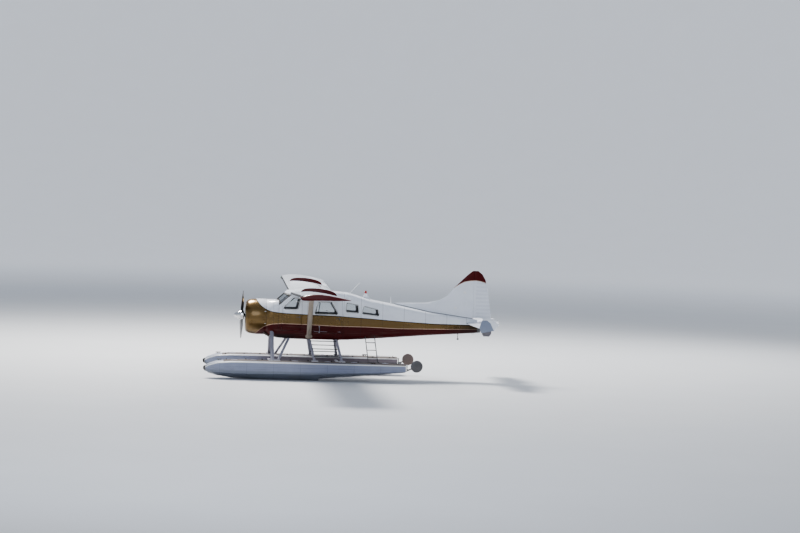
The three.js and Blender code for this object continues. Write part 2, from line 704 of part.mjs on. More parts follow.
function tailplaneParts() {
  const full = loft(TAILPLANE_SECTIONS.map(([x, nose, tail, thick]) => {
    const chord = tail - nose;
    return airfoil(chord, thick / chord, 0, 7)
      .map(([s, w]) => new THREE.Vector3(x, nose + s, TAILPLANE_W + w));
  }));
  const hinge = (x) => [x, ELEVATOR_HINGE_S, TAILPLANE_W];
  const tip = TAILPLANE_HALF_SPAN - 12;
  const nose = bar(hinge(ELEVATOR_ROOT_X), hinge(tip), ELEVATOR_NOSE[0] - 4, ELEVATOR_NOSE[1] - 2, 20);
  const well = bar(
    hinge(ELEVATOR_ROOT_X - RUNNING_GAP),
    hinge(TAILPLANE_HALF_SPAN + 1),
    ELEVATOR_NOSE[0] + RUNNING_GAP,
    ELEVATOR_NOSE[1] + RUNNING_GAP,
    20,
  );
  const aft = box(-3000, 3000, ELEVATOR_HINGE_S, 9000, -600, 600);
  const root = new THREE.Shape([
    new THREE.Vector2(ELEVATOR_ROOT_X, ELEVATOR_HINGE_S),
    new THREE.Vector2(tip, ELEVATOR_HINGE_S),
    new THREE.Vector2(tip, 9000),
    new THREE.Vector2(ELEVATOR_ROOT_X + 330, 9000),
  ]);
  const half = solidOf(new THREE.ExtrudeGeometry(root, { depth: 1200, bevelEnabled: false })
    .translate(0, 0, -600));
  let left = full.intersect(half).add(nose);
  let fixed = full.subtract(aft).subtract(well).subtract(mirrored(well))
    .subtract(bar(hinge(-200), hinge(200), 30, 30, 12));
  for (const x of [420, 2060]) {
    const arm = box(x - 6, x + 6, ELEVATOR_HINGE_S - 95, ELEVATOR_HINGE_S, TAILPLANE_W - 15, TAILPLANE_W + 15)
      .add(bar([x - 6, ELEVATOR_HINGE_S, TAILPLANE_W], [x + 6, ELEVATOR_HINGE_S, TAILPLANE_W], 15));
    left = left.subtract(box(x - 6.5, x + 6.5, ELEVATOR_HINGE_S - 100, ELEVATOR_HINGE_S + 24, -600, 600));
    fixed = fixed.add(arm).add(mirrored(arm));
  }
  const finlet = sidePlate(rounded(FINLET, 30), TAILPLANE_HALF_SPAN - 0.5, TAILPLANE_HALF_SPAN + 11.5);
  const stabilizer = fixed.add(finlet).add(mirrored(finlet));
  const tube = bar(hinge(-ELEVATOR_ROOT_X - 10), hinge(ELEVATOR_ROOT_X + 10), 16, 16, 12);
  const raise = new THREE.Matrix4().makeTranslation(0, ELEVATOR_HINGE_S, TAILPLANE_W)
    .multiply(new THREE.Matrix4().makeRotationX(ELEVATOR_REST))
    .multiply(new THREE.Matrix4().makeTranslation(0, -ELEVATOR_HINGE_S, -TAILPLANE_W));
  const elevator = moved(joined([left, mirrored(left), tube]), raise);
  return { stabilizer, elevator };
}

// Float sections: a flat keel strip, the chine, the gunwale and a rounded deck.
const FLOAT_SECTIONS = [
  // s, keel w, chine half beam, chine w, gunwale half beam, gunwale w, deck w
  [-1250, -1812, 84, -1752, 100, -1668, -1628],
  [-1160, -1872, 165, -1780, 190, -1600, -1560],
  [-870, -1950, 285, -1822, 325, -1500, -1462],
  [-400, -2020, 360, -1838, 395, -1458, -1418],
  [400, KEEL_W, 400, -1840, 420, -1450, -1412],
  [STEP_S, KEEL_W, 405, -1812, 420, -1452, -1414],
  [STEP_S + 12, -1985, 404, -1805, 420, -1452, -1414],
  [4300, -1835, 365, -1722, 388, -1456, -1420],
  [TRANSOM_S, -1716, 290, -1652, 310, -1458, -1426],
];
const KEEL_HALF = 32;

function floatSection([s, keel, chineX, chineW, gunwaleX, gunwaleW, deck]) {
  const rise = deck - gunwaleW;
  const half = [
    [KEEL_HALF, keel], [chineX, chineW], [gunwaleX, gunwaleW - 30], [gunwaleX, gunwaleW],
    [gunwaleX * 0.93, gunwaleW + rise * 0.36], [gunwaleX * 0.74, gunwaleW + rise * 0.72],
    [gunwaleX * 0.42, gunwaleW + rise * 0.94],
  ];
  const ring = [...half, [0, deck], ...half.map(([x, w]) => [-x, w]).reverse()];
  return ring.map(([x, w]) => new THREE.Vector3(FLOAT_X + x, s, w));
}

// A mooring cleat on two feet, its horns along the float.
function cleat([x, s, w]) {
  const horns = bar([x, s - 85, w + 44], [x, s + 85, w + 44], 13, 11, 8);
  const feet = [-30, 30].map((shift) => box(x - 11, x + 11, s + shift - 12, s + shift + 12, w - 30, w + 44));
  return joined([horns, ...feet]);
}

// Places of the cleats on the left deck, as [x, s, w].
const CLEATS = [
  [FLOAT_X, -800, -1456],
  [FLOAT_X + 290, 4369, -1436],
];

function floatHull() {
  const body = loft(FLOAT_SECTIONS.map(floatSection));
  const [postTop, postBottom] = POST_LUGS;
  const lug = (w) => box(FLOAT_X - 22, FLOAT_X + 22, TRANSOM_S - 20, RUDDER_POST_S + 22, w, w + 18);
  return joined([body, lug(postTop), lug(postBottom - 18), ...CLEATS.map(cleat)]);
}

function bumper() {
  const ring = (s, share, w) => Array.from({ length: 10 }, (_, i) => {
    const angle = (i * 36 + 18) * DEG;
    return new THREE.Vector3(
      FLOAT_X + 104 * share * Math.cos(angle),
      s,
      w + 92 * share * Math.sin(angle),
    );
  });
  return loft([ring(-1250 - GAP, 1, -1716), ring(-1295, 0.86, -1714), ring(BOW_S, 0.42, -1710)]);
}

function frontStrut() {
  const leg = strut([540, 968, -500], [FLOAT_X - 20, 985, -1470], 130, 50);
  const brace = strut([470, 1588, -640], [FLOAT_X - 30, 1150, -1470], 95, 42);
  const shoe = box(FLOAT_X - 120, FLOAT_X + 50, 880, 1220, -1470, -1380);
  return joined([leg, brace, shoe]);
}

// Two raked legs with rungs between them, as [top s, foot s].
const STEP_LEGS = [[2230, 2432], [3156, 3350]];
const STEP_TOP = [470, -640];
const STEP_FOOT = [FLOAT_X - 60, -1480];
function stepPoint(row, share) {
  const [top, foot] = STEP_LEGS[row];
  return [
    STEP_TOP[0] + (STEP_FOOT[0] - STEP_TOP[0]) * share,
    top + (foot - top) * share,
    STEP_TOP[1] + (STEP_FOOT[1] - STEP_TOP[1]) * share,
  ];
}

function ladderStrut() {
  const legs = STEP_LEGS.map((_, row) => strut(stepPoint(row, 0), stepPoint(row, 1), 90, 40));
  const shoes = STEP_LEGS.map((_, row) => {
    const [x, s] = stepPoint(row, 0.95);
    return box(x - 70, x + 70, s - 85, s + 85, -1470, -1386);
  });
  const rungs = [0.17, 0.465, 0.755].map((share) => {
    const from = stepPoint(0, share);
    const to = stepPoint(1, share);
    return box(from[0] - 32, from[0] + 32, from[1] - 10, to[1] + 10, from[2] - 10, from[2] + 10);
  });
  return joined([...legs, ...shoes, ...rungs]);
}

const AFT_LADDER = [4185, 4506];

function aftLadder() {
  const [top, foot] = [[500, -20, -560], [FLOAT_X - 100, 52, -1450]];
  const at = (share) => top.map((value, i) => value + (foot[i] - value) * share);
  const along = (s, share) => {
    const [x, shift, w] = at(share);
    return [x, s + shift, w];
  };
  const rail = (s) => bar(along(s, 0), along(s, 1), 15, 15, 8);
  const rungs = [0.25, 0.52, 0.79].map((share) =>
    bar(along(AFT_LADDER[0], share), along(AFT_LADDER[1], share), 13, 13, 8));
  return joined([...AFT_LADDER.map(rail), ...rungs]);
}

function waterRudderParts() {
  const x = FLOAT_X;
  const [pivotS, pivotW] = RUDDER_PIVOT;
  const [top, bottom] = POST_LUGS;
  const post = bar([x, RUDDER_POST_S, bottom + GAP], [x, RUDDER_POST_S, top - GAP], 15, 15, 12)
    .add(box(x - 14, x - 2, RUDDER_POST_S, pivotS + 30, pivotW - 28, pivotW + 28));
  const disc = bar(
    [x - 2 + GAP, pivotS + WATER_RUDDER_REACH, pivotW],
    [x + 12, pivotS + WATER_RUDDER_REACH, pivotW],
    WATER_RUDDER_RADIUS,
    WATER_RUDDER_RADIUS,
    32,
  );
  const arm = box(x - 2 + GAP, x + 12, pivotS - 16, pivotS + WATER_RUDDER_REACH, pivotW - 24, pivotW + 24);
  const raise = new THREE.Matrix4().makeTranslation(0, pivotS, pivotW)
    .multiply(new THREE.Matrix4().makeRotationX(RUDDER_RAISED))
    .multiply(new THREE.Matrix4().makeTranslation(0, -pivotS, -pivotW));
  return { post, blade: moved(disc.add(arm), raise) };
}

// What stands on the fuselage behind the wing: a beacon on its fairing and two aerials.
function beacon() {
  const fairing = sidePlate([[4040, 640], [4140, 862], [4215, 862], [4370, 600]], -13, 13);
  const lamp = turned([[0, 850], [42, 850], [42, 925], [30, 952], [0, 960]], 12);
  const upright = new THREE.Matrix4().makeTranslation(0, 4178, 0)
    .multiply(new THREE.Matrix4().makeRotationX(90 * DEG));
  return joined([fairing, moved(lamp, upright)]);
}

const whipAerial = () => bar([0, 3590, 820], [0, 3965, 1222], 8, 8, 8);

const mastAerial = () => bar([0, 5060, 480], [0, 5060, 780], 20, 8, 8);

const stoodOnHull = (solid) => largest(solid.subtract(shifted(hull, 0, 0, GAP)));

function seat(x0, x1, s0, s1, backTop) {
  const cushionW = -200;
  return joined([
    box(x0, x1, s0, s1, cushionW - 90, cushionW),
    box(x0, x1, s1 - 100, s1 + 20, cushionW - 80, backTop),
    box(x0 + 90, x1 - 90, s0 + 70, s1 - 70, FLOOR_W + GAP, cushionW - 60),
  ]);
}

function instrumentPanel(nose) {
  const board = box(-560, 560, 1215, 1300, 130, 392);
  const column = bar([0, 1330, FLOOR_W + GAP], [0, 1440, 100], 28, 24, 10);
  const stem = bar([0, 1250, 200], [0, 1480, 60], 20, 20, 10);
  const grip = box(-300, 20, 1440, 1466, 74, 104);
  const shelf = box(-560, 560, FIREWALL_S + GAP, 1230, 340, 392);
  const below = box(-900, 900, 1000, 2000, FLOOR_W - 200, FLOOR_W + GAP);
  return joined([board, column, stem, grip, shelf]).subtract(nose).subtract(below);
}

// What is built, each in its own material.
const aircraft = new THREE.Group();
aircraft.name = "aircraft";
aircraft.position.set(0, -MIDDLE_S, -KEEL_W);

function place(name, solid, paint) {
  const [color, roughness, metalness] = PAINT[paint];
  const material = new THREE.MeshStandardMaterial({ color, roughness, metalness });
  const mesh = new THREE.Mesh(geometryOf(solid), material);
  mesh.name = name;
  aircraft.add(mesh);
}

function placePair(name, solid, paint) {
  place(`${name}_left`, solid, paint);
  place(`${name}_right`, mirrored(solid), paint);
}

const nose = loft(NOSE_SECTIONS.map((row) => roundedSection(...row)));
const cowl = cowlRing();
place("cowl_ring", cowl, "gold");
place("engine", engine(), "metal");
place("exhaust_pipe", exhaust(nose, cowl), "darkMetal");
place("nose_panel", nose, "gold");
place("propeller", propeller(), "black");

const roof = cabinRoof();
const side = cabinSide();
const bothSides = side.add(mirrored(side));
const screen = windscreen(roof, nose, bothSides);
place("cabin_floor", cabinFloor(), "maroon");
placePair("cabin_side", side, "gold");
place("cabin_roof", roof, "white");
place("windscreen_frame", screen.frame, "white");
placePair("windscreen_glass", screen.glass, "glass");
place("instrument_panel", instrumentPanel(nose), "black");
placePair("seat", seat(60, 540, 1760, 2230, 300), "leather");
place("bench_seat", seat(-560, 560, 2800, 3260, 290), "leather");
for (const name of Object.keys(DOORS)) {
  placePair(`door_${name}`, door(name), "gold");
  placePair(`door_${name}_glass`, pane(DOORS[name][1]), "glass");
}

const tail = tailplaneParts();
let tailCone = skin.intersect(box(-900, 900, CABIN_END_S, 9000, -900, 1100))
  .subtract(paneHole(THIRD_PANE)).subtract(paneHole(FOURTH_PANE));
for (const [s, w] of [[0, GAP], [0, -GAP], [-GAP, 0], [GAP, 0]]) {
  tailCone = tailCone.subtract(shifted(tail.stabilizer, 0, s, w));
}
place("tail_cone", largest(tailCone), "gold");
place("beacon", stoodOnHull(beacon()), "white");
place("aerial_whip", stoodOnHull(whipAerial()), "white");
place("aerial_mast", stoodOnHull(mastAerial()), "white");
placePair("window_third", pane(THIRD_PANE), "glass");
placePair("window_fourth", pane(FOURTH_PANE), "glass");
const bulkhead = cabinSpace(GAP)
  .intersect(box(-900, 900, BULKHEAD_S, BULKHEAD_S + 20, -900, 1100));
place("rear_bulkhead", bulkhead, "strutGrey");

place("fin", tailFin(), "white");
place("rudder", rudder(), "white");
place("stabilizer", tail.stabilizer, "white");
place("elevator", tail.elevator, "white");

const { wing, flap, aileron } = wingParts(roof);
placePair("wing", wing, "white");
placePair("flap", flap, "white");
placePair("aileron", aileron, "white");
const wingStrut = strut([590, 2232, -646], [3240, 2125, 860], 165, 62)
  .subtract(shifted(wing, 0, 0, -GAP)).subtract(shifted(hull, GAP, 0, 0));
placePair("wing_strut", largest(wingStrut), "strutGrey");

const float = floatHull();
placePair("float", float, "floatGrey");
placePair("bow_bumper", bumper(), "black");
const seated = (solid) => largest([hull, nose].reduce(
  (left, other) => left.subtract(shifted(other, 0, 0, -GAP)).subtract(shifted(other, GAP, 0, 0)),
  solid.subtract(shifted(float, 0, 0, GAP)).subtract(shifted(float, -GAP, 0, 0)),
));
placePair("front_strut", seated(frontStrut()), "strutGrey");
placePair("ladder_strut", seated(ladderStrut()), "strutGrey");
place("aft_ladder", seated(aftLadder()), "darkMetal");
for (const [name, s] of [["front", 960], ["rear", 3300]]) {
  const spread = strut([-FLOAT_X, s, -1560], [FLOAT_X, s, -1560], 130, 60)
    .subtract(shifted(float, -GAP, 0, 0)).subtract(shifted(mirrored(float), GAP, 0, 0));
  place(`spreader_bar_${name}`, largest(spread), "strutGrey");
}
const { post, blade: waterBlade } = waterRudderParts();
placePair("rudder_post", post, "darkMetal");
placePair("water_rudder", waterBlade, "darkMetal");

export default aircraft;
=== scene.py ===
"""Dresses a high-wing aircraft on twin floats: paint, glass, cabin, engine and fittings, in metres."""

import json
import math

import bpy
from mathutils import Matrix, Vector
from mathutils.bvhtree import BVHTree


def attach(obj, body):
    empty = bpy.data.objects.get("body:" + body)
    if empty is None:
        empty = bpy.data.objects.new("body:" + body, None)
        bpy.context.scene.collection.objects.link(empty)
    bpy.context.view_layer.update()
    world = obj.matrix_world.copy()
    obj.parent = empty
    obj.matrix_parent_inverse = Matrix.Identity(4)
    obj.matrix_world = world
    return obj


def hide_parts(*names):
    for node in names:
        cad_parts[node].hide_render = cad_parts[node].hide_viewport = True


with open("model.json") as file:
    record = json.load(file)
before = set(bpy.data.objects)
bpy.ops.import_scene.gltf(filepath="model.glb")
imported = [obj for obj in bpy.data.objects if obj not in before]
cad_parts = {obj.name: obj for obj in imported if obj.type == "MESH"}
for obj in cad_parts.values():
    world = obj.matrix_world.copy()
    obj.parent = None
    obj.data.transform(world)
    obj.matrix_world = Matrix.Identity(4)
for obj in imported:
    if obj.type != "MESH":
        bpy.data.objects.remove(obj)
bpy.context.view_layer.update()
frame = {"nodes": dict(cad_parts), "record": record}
NODES = frame["nodes"]
BODY_OF = {node: body for body, nodes in frame["record"]["behaviour"]["bodies"].items() for node in nodes}

# Where the aircraft's own stations lie in the frame: s aft of the propeller, w above its shaft.
MIDDLE_S = 3.72
SHAFT_Z = 2.05
AIRFRAME = "airframe"
FLOAT_X = 1.45

MIRROR = Matrix.Scale(-1, 4, (1, 0, 0))
Y_WAY = Vector((0, 1, 0))
Z_WAY = Vector((0, 0, 1))
MERGE = 0.00002


def at(x, s, w):
    """A place given by lateral distance, station and height above the shaft."""
    return Vector((x, s - MIDDLE_S, w + SHAFT_Z))


# Selection, editing and modifiers.


def pick(*pieces):
    bpy.ops.object.select_all(action="DESELECT")
    for piece in pieces:
        piece.select_set(True)
    bpy.context.view_layer.objects.active = pieces[0]


def settle(piece):
    """Puts a piece's place, turn and size into its mesh."""
    pick(piece)
    bpy.ops.object.transform_apply(location=True, rotation=True, scale=True)
    return piece


def named(piece, name):
    piece.name = name
    piece.data.name = name
    return piece


def start(kind, name, **settings):
    bpy.ops.object.select_all(action="DESELECT")
    getattr(bpy.ops.mesh, f"primitive_{kind}_add")(**settings)
    return named(bpy.context.active_object, name)


def linked(name, data):
    """A new object in the scene."""
    made = bpy.data.objects.new(name, data)
    bpy.context.scene.collection.objects.link(made)
    return made


def change(piece, kind, **settings):
    """Adds one modifier and applies it."""
    pick(piece)
    bpy.ops.object.modifier_add(type=kind)
    modifier = piece.modifiers[-1]
    for key, value in settings.items():
        setattr(modifier, key, value)
    bpy.ops.object.modifier_apply(modifier=modifier.name)
    return piece


def smooth(piece, angle=35.0):
    pick(piece)
    bpy.ops.object.shade_smooth_by_angle(angle=math.radians(angle))
    return piece


def soften(piece, width, angle=35.0, segments=2):
    """Rounds the sharp edges a little and smooths the rest."""
    change(piece, "BEVEL", width=width, segments=segments, limit_method="ANGLE",
           angle_limit=math.radians(angle), use_clamp_overlap=True, harden_normals=False)
    return smooth(piece, angle)


def joined(name, pieces):
    pick(*pieces)
    if len(pieces) > 1:
        bpy.ops.object.join()
    return named(bpy.context.active_object, name)


def edit(piece, select=None, mode="FACE"):
    """Enters edit mode with only the faces or points selected whose place and normal pass the test."""
    pick(piece)
    bpy.ops.object.mode_set(mode="EDIT")
    bpy.ops.mesh.select_mode(type=mode)
    bpy.ops.mesh.select_all(action="DESELECT")
    bpy.ops.object.mode_set(mode="OBJECT")
    if select is not None:
        parts = piece.data.polygons if mode == "FACE" else piece.data.vertices
        for part in parts:
            place = part.center if mode == "FACE" else part.co
            part.select = bool(select(place, part.normal))
    bpy.ops.object.mode_set(mode="EDIT")


def edit_all(piece):
    """Enters edit mode with the whole piece selected."""
    edit(piece)
    bpy.ops.mesh.select_all(action="SELECT")


def leave():
    bpy.ops.object.mode_set(mode="OBJECT")


def extrude(way):
    bpy.ops.mesh.extrude_region_move(TRANSFORM_OT_translate={"value": way})


def outward(piece):
    """Merges doubles and turns every face outwards."""
    edit_all(piece)
    bpy.ops.mesh.remove_doubles(threshold=MERGE)
    bpy.ops.mesh.normals_make_consistent(inside=False)
    leave()
    return piece


def inset(piece, facing, thickness, depth):
    """Insets the faces that look one way, raised or sunk by a depth."""
    edit(piece, lambda place, normal: normal.dot(facing) > 0.9)
    bpy.ops.mesh.inset(thickness=thickness, depth=depth)
    leave()
    return piece


def shaped(piece, places):
    """Moves a piece's points to a list of places."""
    for vertex, place in zip(piece.data.vertices, places):
        vertex.co = place
    return piece


def copied(piece, name, matrix=None):
    """A copy with its own mesh, moved by a matrix."""
    copy = piece.copy()
    copy.data = piece.data.copy()
    bpy.context.scene.collection.objects.link(copy)
    if matrix is not None:
        copy.data.transform(matrix)
        if matrix.determinant() < 0:
            copy.data.flip_normals()
    return named(copy, name)


def other_side(piece, name):
    return copied(piece, name, MIRROR)


def shifts(places):
    return [Matrix.Translation(place) for place in places]


def turns_about(axis, count):
    """Evenly spaced turns about an axis through the origin."""
    return [Matrix.Rotation(math.tau * i / count, 4, axis) for i in range(count)]


def repeated(name, piece, matrices):
    """One piece made of a copy at each matrix; the pattern itself is used up."""
    copies = [copied(piece, f"{name}_{i}", matrix) for i, matrix in enumerate(matrices)]
    bpy.data.objects.remove(piece)
    return joined(name, copies)


def turned_to(toward, centre=(0, 0, 0)):
    """Takes what stands along z at the origin to a centre, along another direction."""
    return Matrix.Translation(centre) @ Vector(toward).to_track_quat("Z", "Y").to_matrix().to_4x4()


def stood(found):
    """Stands a pattern on each found place, along the direction that was found with it."""
    return [turned_to(way, place) for place, way in found]


# Shapes.


def box(name, low, high, bevel=0.0, segments=2):
    """A block between two corners with softened edges."""
    low, high = Vector(low), Vector(high)
    piece = start("cube", name, size=1, location=(low + high) / 2)
    piece.scale = high - low
    settle(piece)
    if bevel:
        soften(piece, bevel, segments=segments)
    return piece


def block(name, place, low, high, bevel, segments=2):
    """A softened block whose corners are given from a place."""
    return box(name, place + Vector(low), place + Vector(high), bevel, segments)


def strip(name, begin, end, width, depth, facing, bevel=0.002):
    """A flat bar between two places, its broad face towards facing."""
    begin, end = Vector(begin), Vector(end)
    along = (end - begin).normalized()
    up = Vector(facing)
    up = (up - along * up.dot(along)).normalized()
    piece = start("cube", name, size=1)
    piece.scale = ((end - begin).length, width, depth)
    settle(piece)
    soften(piece, bevel)
    turn = Matrix((along, up.cross(along), up)).transposed().to_4x4()
    piece.data.transform(Matrix.Translation((begin + end) / 2) @ turn)
    return piece


def rod(name, begin, end, radius, end_radius=None, sides=12, bevel=0.0):
    """A round bar between two places, tapered if its ends differ."""
    begin, end = Vector(begin), Vector(end)
    way = end - begin
    piece = start("cone", name, vertices=sides, radius1=radius,
                  radius2=radius if end_radius is None else end_radius, depth=way.length)
    if bevel:
        soften(piece, bevel, angle=50)
    piece.data.transform(turned_to(way, (begin + end) / 2))
    return smooth(piece, 50)


def wire(name, points, radius, closed=False, sides=8):
    """A round line through a list of places, as a mesh."""
    curve = bpy.data.curves.new(name, "CURVE")
    curve.dimensions = "3D"
    curve.bevel_depth = radius
    curve.bevel_resolution = max(0, sides // 2 - 2)
    curve.use_fill_caps = not closed
    spline = curve.splines.new("POLY")
    spline.points.add(len(points) - 1)
    for point, place in zip(spline.points, points):
        point.co = (*place, 1)
    spline.use_cyclic_u = closed
    pick(linked(name, curve))
    bpy.ops.object.convert(target="MESH")
    return smooth(bpy.context.active_object, 60)


def arc(centre, along, up, first, last, steps):
    """Places between two angles of an arc; along and up reach from its centre to its rim."""
    centre, along, up = Vector(centre), Vector(along), Vector(up)
    turns = [math.radians(first + (last - first) * i / steps) for i in range(steps + 1)]
    return [centre + along * math.cos(turn) + up * math.sin(turn) for turn in turns]


def circle(centre, along, up, steps):
    return arc(centre, along, up, 0, 360, steps)[:-1]


def eye(name, centre, radius, thickness, steps=20):
    """A closed ring that stands fore and aft."""
    return wire(name, circle(centre, (0, radius, 0), (0, 0, radius), steps), thickness, closed=True)


def ring_by_ring(name, profile, sides):
    """A circle extruded and resized from ring to ring of (radius, height), left in edit mode."""
    radius, height = profile[0]
    piece = settle(start("circle", name, vertices=sides, radius=radius, location=(0, 0, height)))
    edit(piece, lambda place, normal: True, "VERT")
    for (before, low), (after, high) in zip(profile, profile[1:]):
        extrude((0, 0, high - low))
        bpy.ops.transform.resize(value=(after / before, after / before, 1), center_override=(0, 0, 0))
    return piece


def bent(points, radius, steps=4):
    """A route with its corners rounded."""
    points = [Vector(point) for point in points]
    route = [points[0]]
    for before, here, after in zip(points, points[1:], points[2:]):
        back, ahead = (before - here).normalized() * radius, (after - here).normalized() * radius
        for i in range(steps + 1):
            share = i / steps
            route.append(here + back * (1 - share) ** 2 + ahead * share**2)
    return route + [points[-1]]


def turned(name, profile, centre=(0, 0, 0), toward=(0, 0, 1), sides=24):
    """A round body from rings of (radius, height), its axis along a direction."""
    piece = ring_by_ring(name, profile, sides)
    bpy.ops.mesh.select_all(action="SELECT")
    bpy.ops.mesh.remove_doubles(threshold=MERGE)
    bpy.ops.mesh.fill_holes(sides=0)
    bpy.ops.mesh.normals_make_consistent(inside=False)
    leave()
    piece.data.transform(turned_to(toward, centre))
    return smooth(piece, 38)


def rounded(corners, radius, steps=4):
    """An outline with its corners turned into arcs."""
    outline = []
    for before, here, after in zip(corners[-1:] + corners[:-1], corners, corners[1:] + corners[:1]):
        here = Vector(here)
        back, ahead = (Vector(before) - here).normalized(), (Vector(after) - here).normalized()
        half = back.angle(ahead) / 2
        centre = here + (back + ahead).normalized() * radius / math.sin(half)
        first = (here + back * radius / math.tan(half) - centre).normalized()
        last = (here + ahead * radius / math.tan(half) - centre).normalized()
        outline += [centre + first.slerp(last, i / steps).normalized() * radius for i in range(steps + 1)]
    return outline


def grown(outline, distance):
    """An outline moved outwards, or inwards where the distance is negative."""
    ends = list(zip(outline[-1:] + outline[:-1], outline, outline[1:] + outline[:1]))
    area = sum(before.x * here.y - here.x * before.y for before, here, _ in ends)
    moved = []
    for before, here, after in ends:
        way = (here - before).normalized() + (after - here).normalized()
        normal = Vector((way.y, -way.x)).normalized()
        moved.append(here + normal * math.copysign(distance, area * distance))
    return moved


def plate(name, outline, low_x, high_x, bevel=0.0):
    """A plate with an outline of (s, w) places between two lateral distances."""
    piece = start("circle", name, vertices=len(outline), radius=1, fill_type="NGON")
    shaped(piece, [at(low_x, s, w) for s, w in outline])
    edit(piece, lambda place, normal: True)
    extrude((high_x - low_x, 0, 0))
    leave()
    outward(piece)
    return soften(piece, bevel) if bevel else smooth(piece)


def ring(name, outline, inward, outward_by, low_x, high_x, bevel=0.0015):
    """A frame round an outline of (s, w) places: two loops bridged and extruded sideways."""
    loops = []
    for distance in (-inward, outward_by):
        loop = start("circle", name, vertices=len(outline), radius=1)
        loops.append(shaped(loop, [at(low_x, s, w) for s, w in grown(outline, distance)]))
    piece = joined(name, loops)
    edit(piece, lambda place, normal: True, "VERT")
    bpy.ops.mesh.select_mode(type="EDGE")
    bpy.ops.mesh.bridge_edge_loops()
    bpy.ops.mesh.select_all(action="SELECT")
    extrude((high_x - low_x, 0, 0))
    leave()
    return soften(outward(piece), bevel)


def tree_of(piece):
    """The faces of a piece, to be met by rays."""
    return BVHTree.FromPolygons([vertex.co for vertex in piece.data.vertices],
                                [face.vertices for face in piece.data.polygons])


class Skin:
    """The outside of some solids, to set pieces on."""

    def __init__(self, *nodes):
        points, faces = [], []
        for node in nodes:
            mesh = NODES[node].data
            first = len(points)
            points += [vertex.co.copy() for vertex in mesh.vertices]
            faces += [[first + corner for corner in face.vertices] for face in mesh.polygons]
        self.tree = BVHTree.FromPolygons(points, faces)

    def side(self, s, w, far=9.0, reach=0.002):
        """Lateral distance of the outermost face at a station and height, past any narrow gap."""
        found = [self.tree.ray_cast(at(far, s + ds, w + dw), Vector((-1, 0, 0)))[0]
                 for ds, dw in ((0, 0), (reach, reach), (-reach, reach), (reach, -reach), (-reach, -reach))]
        return max(place.x for place in found if place is not None)

    def top(self, x, s):
        """Place and direction of the upper side."""
        return self.tree.ray_cast(at(x, s, 9), Vector((0, 0, -1)))[:2]

    def under(self, x, s):
        """Place and direction of the lower side."""
        return self.tree.ray_cast(at(x, s, -9), Vector((0, 0, 1)))[:2]


def draped(piece, skin):
    """Sets a flat piece, made about lateral distance 0, onto the left side of a skin."""
    for vertex in piece.data.vertices:
        s, w = vertex.co.y + MIDDLE_S, vertex.co.z - SHAFT_Z
        vertex.co.x += skin.side(s, w)
    return piece


def finish(piece, material, body=AIRFRAME):
    """Gives a piece its material and its body."""
    piece.data.materials.clear()
    piece.data.materials.append(material)
    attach(piece, body)
    return piece


def both_sides(piece, material, body=AIRFRAME):
    """Finishes a left piece and its copy on the right; a body named for the left is turned too."""
    right = other_side(piece, piece.name.replace("_left", "") + "_right")
    if not piece.name.endswith("_left"):
        piece.name += "_left"
    finish(right, material, body.replace("_left", "_right"))
    return finish(piece, material, body)


BODY_SKIN = Skin("cowl_ring", "nose_panel", "cabin_side_left", "door_front_left", "door_rear_left",
                 "door_front_glass_left", "door_rear_glass_left", "window_third_left",
                 "window_fourth_left", "tail_cone", "cabin_roof")
WING_SKIN = Skin("wing_left", "flap_left", "aileron_left")
FLOAT_SKIN = Skin("float_left")
FIN_SKIN = Skin("fin")
TAILPLANE_SKIN = Skin("stabilizer")


# Shader maths as Python expressions.


class Value:
    """A shader socket that arithmetic works on."""

    def __init__(self, paint, socket):
        self.paint = paint
        self.socket = socket

    def math(self, operation, *others):
        return self.paint.node("Math", {"operation": operation}, self, *others)

    def __add__(self, other):
        return self.math("ADD", other)

    def __radd__(self, other):
        return self.math("ADD", other)

    def __sub__(self, other):
        return self.math("SUBTRACT", other)

    def __rsub__(self, other):
        return self.paint.node("Math", {"operation": "SUBTRACT"}, other, self)

    def __mul__(self, other):
        return self.math("MULTIPLY", other)

    def __rmul__(self, other):
        return self.math("MULTIPLY", other)

    def __truediv__(self, other):
        return self.math("DIVIDE", other)

    def __abs__(self):
        return self.math("ABSOLUTE")

    def __lt__(self, other):
        return self.math("LESS_THAN", other)

    def __gt__(self, other):
        return self.math("GREATER_THAN", other)

    def __or__(self, other):
        return self.math("MAXIMUM", other)

    def __and__(self, other):
        return self.math("MINIMUM", other)

    def wrap(self, period):
        return self.math("PINGPONG", period / 2)

    def edge(self, low, high):
        """0 before low and 1 past high, with a soft step between."""
        return self.paint.node("MapRange", {"interpolation_type": "SMOOTHSTEP"},
                               Value=self, From_Min=low, From_Max=high)

    def above(self, soft=0.001):
        """1 past nought, with a soft step."""
        return self.edge(-soft, soft)

    def below(self, soft=0.001):
        """1 short of nought, with a soft step."""
        return self.edge(soft, -soft)

    def line(self, half, soft=0.003):
        """1 within half a width of nought."""
        return 1 - abs(self).edge(half, half + soft)


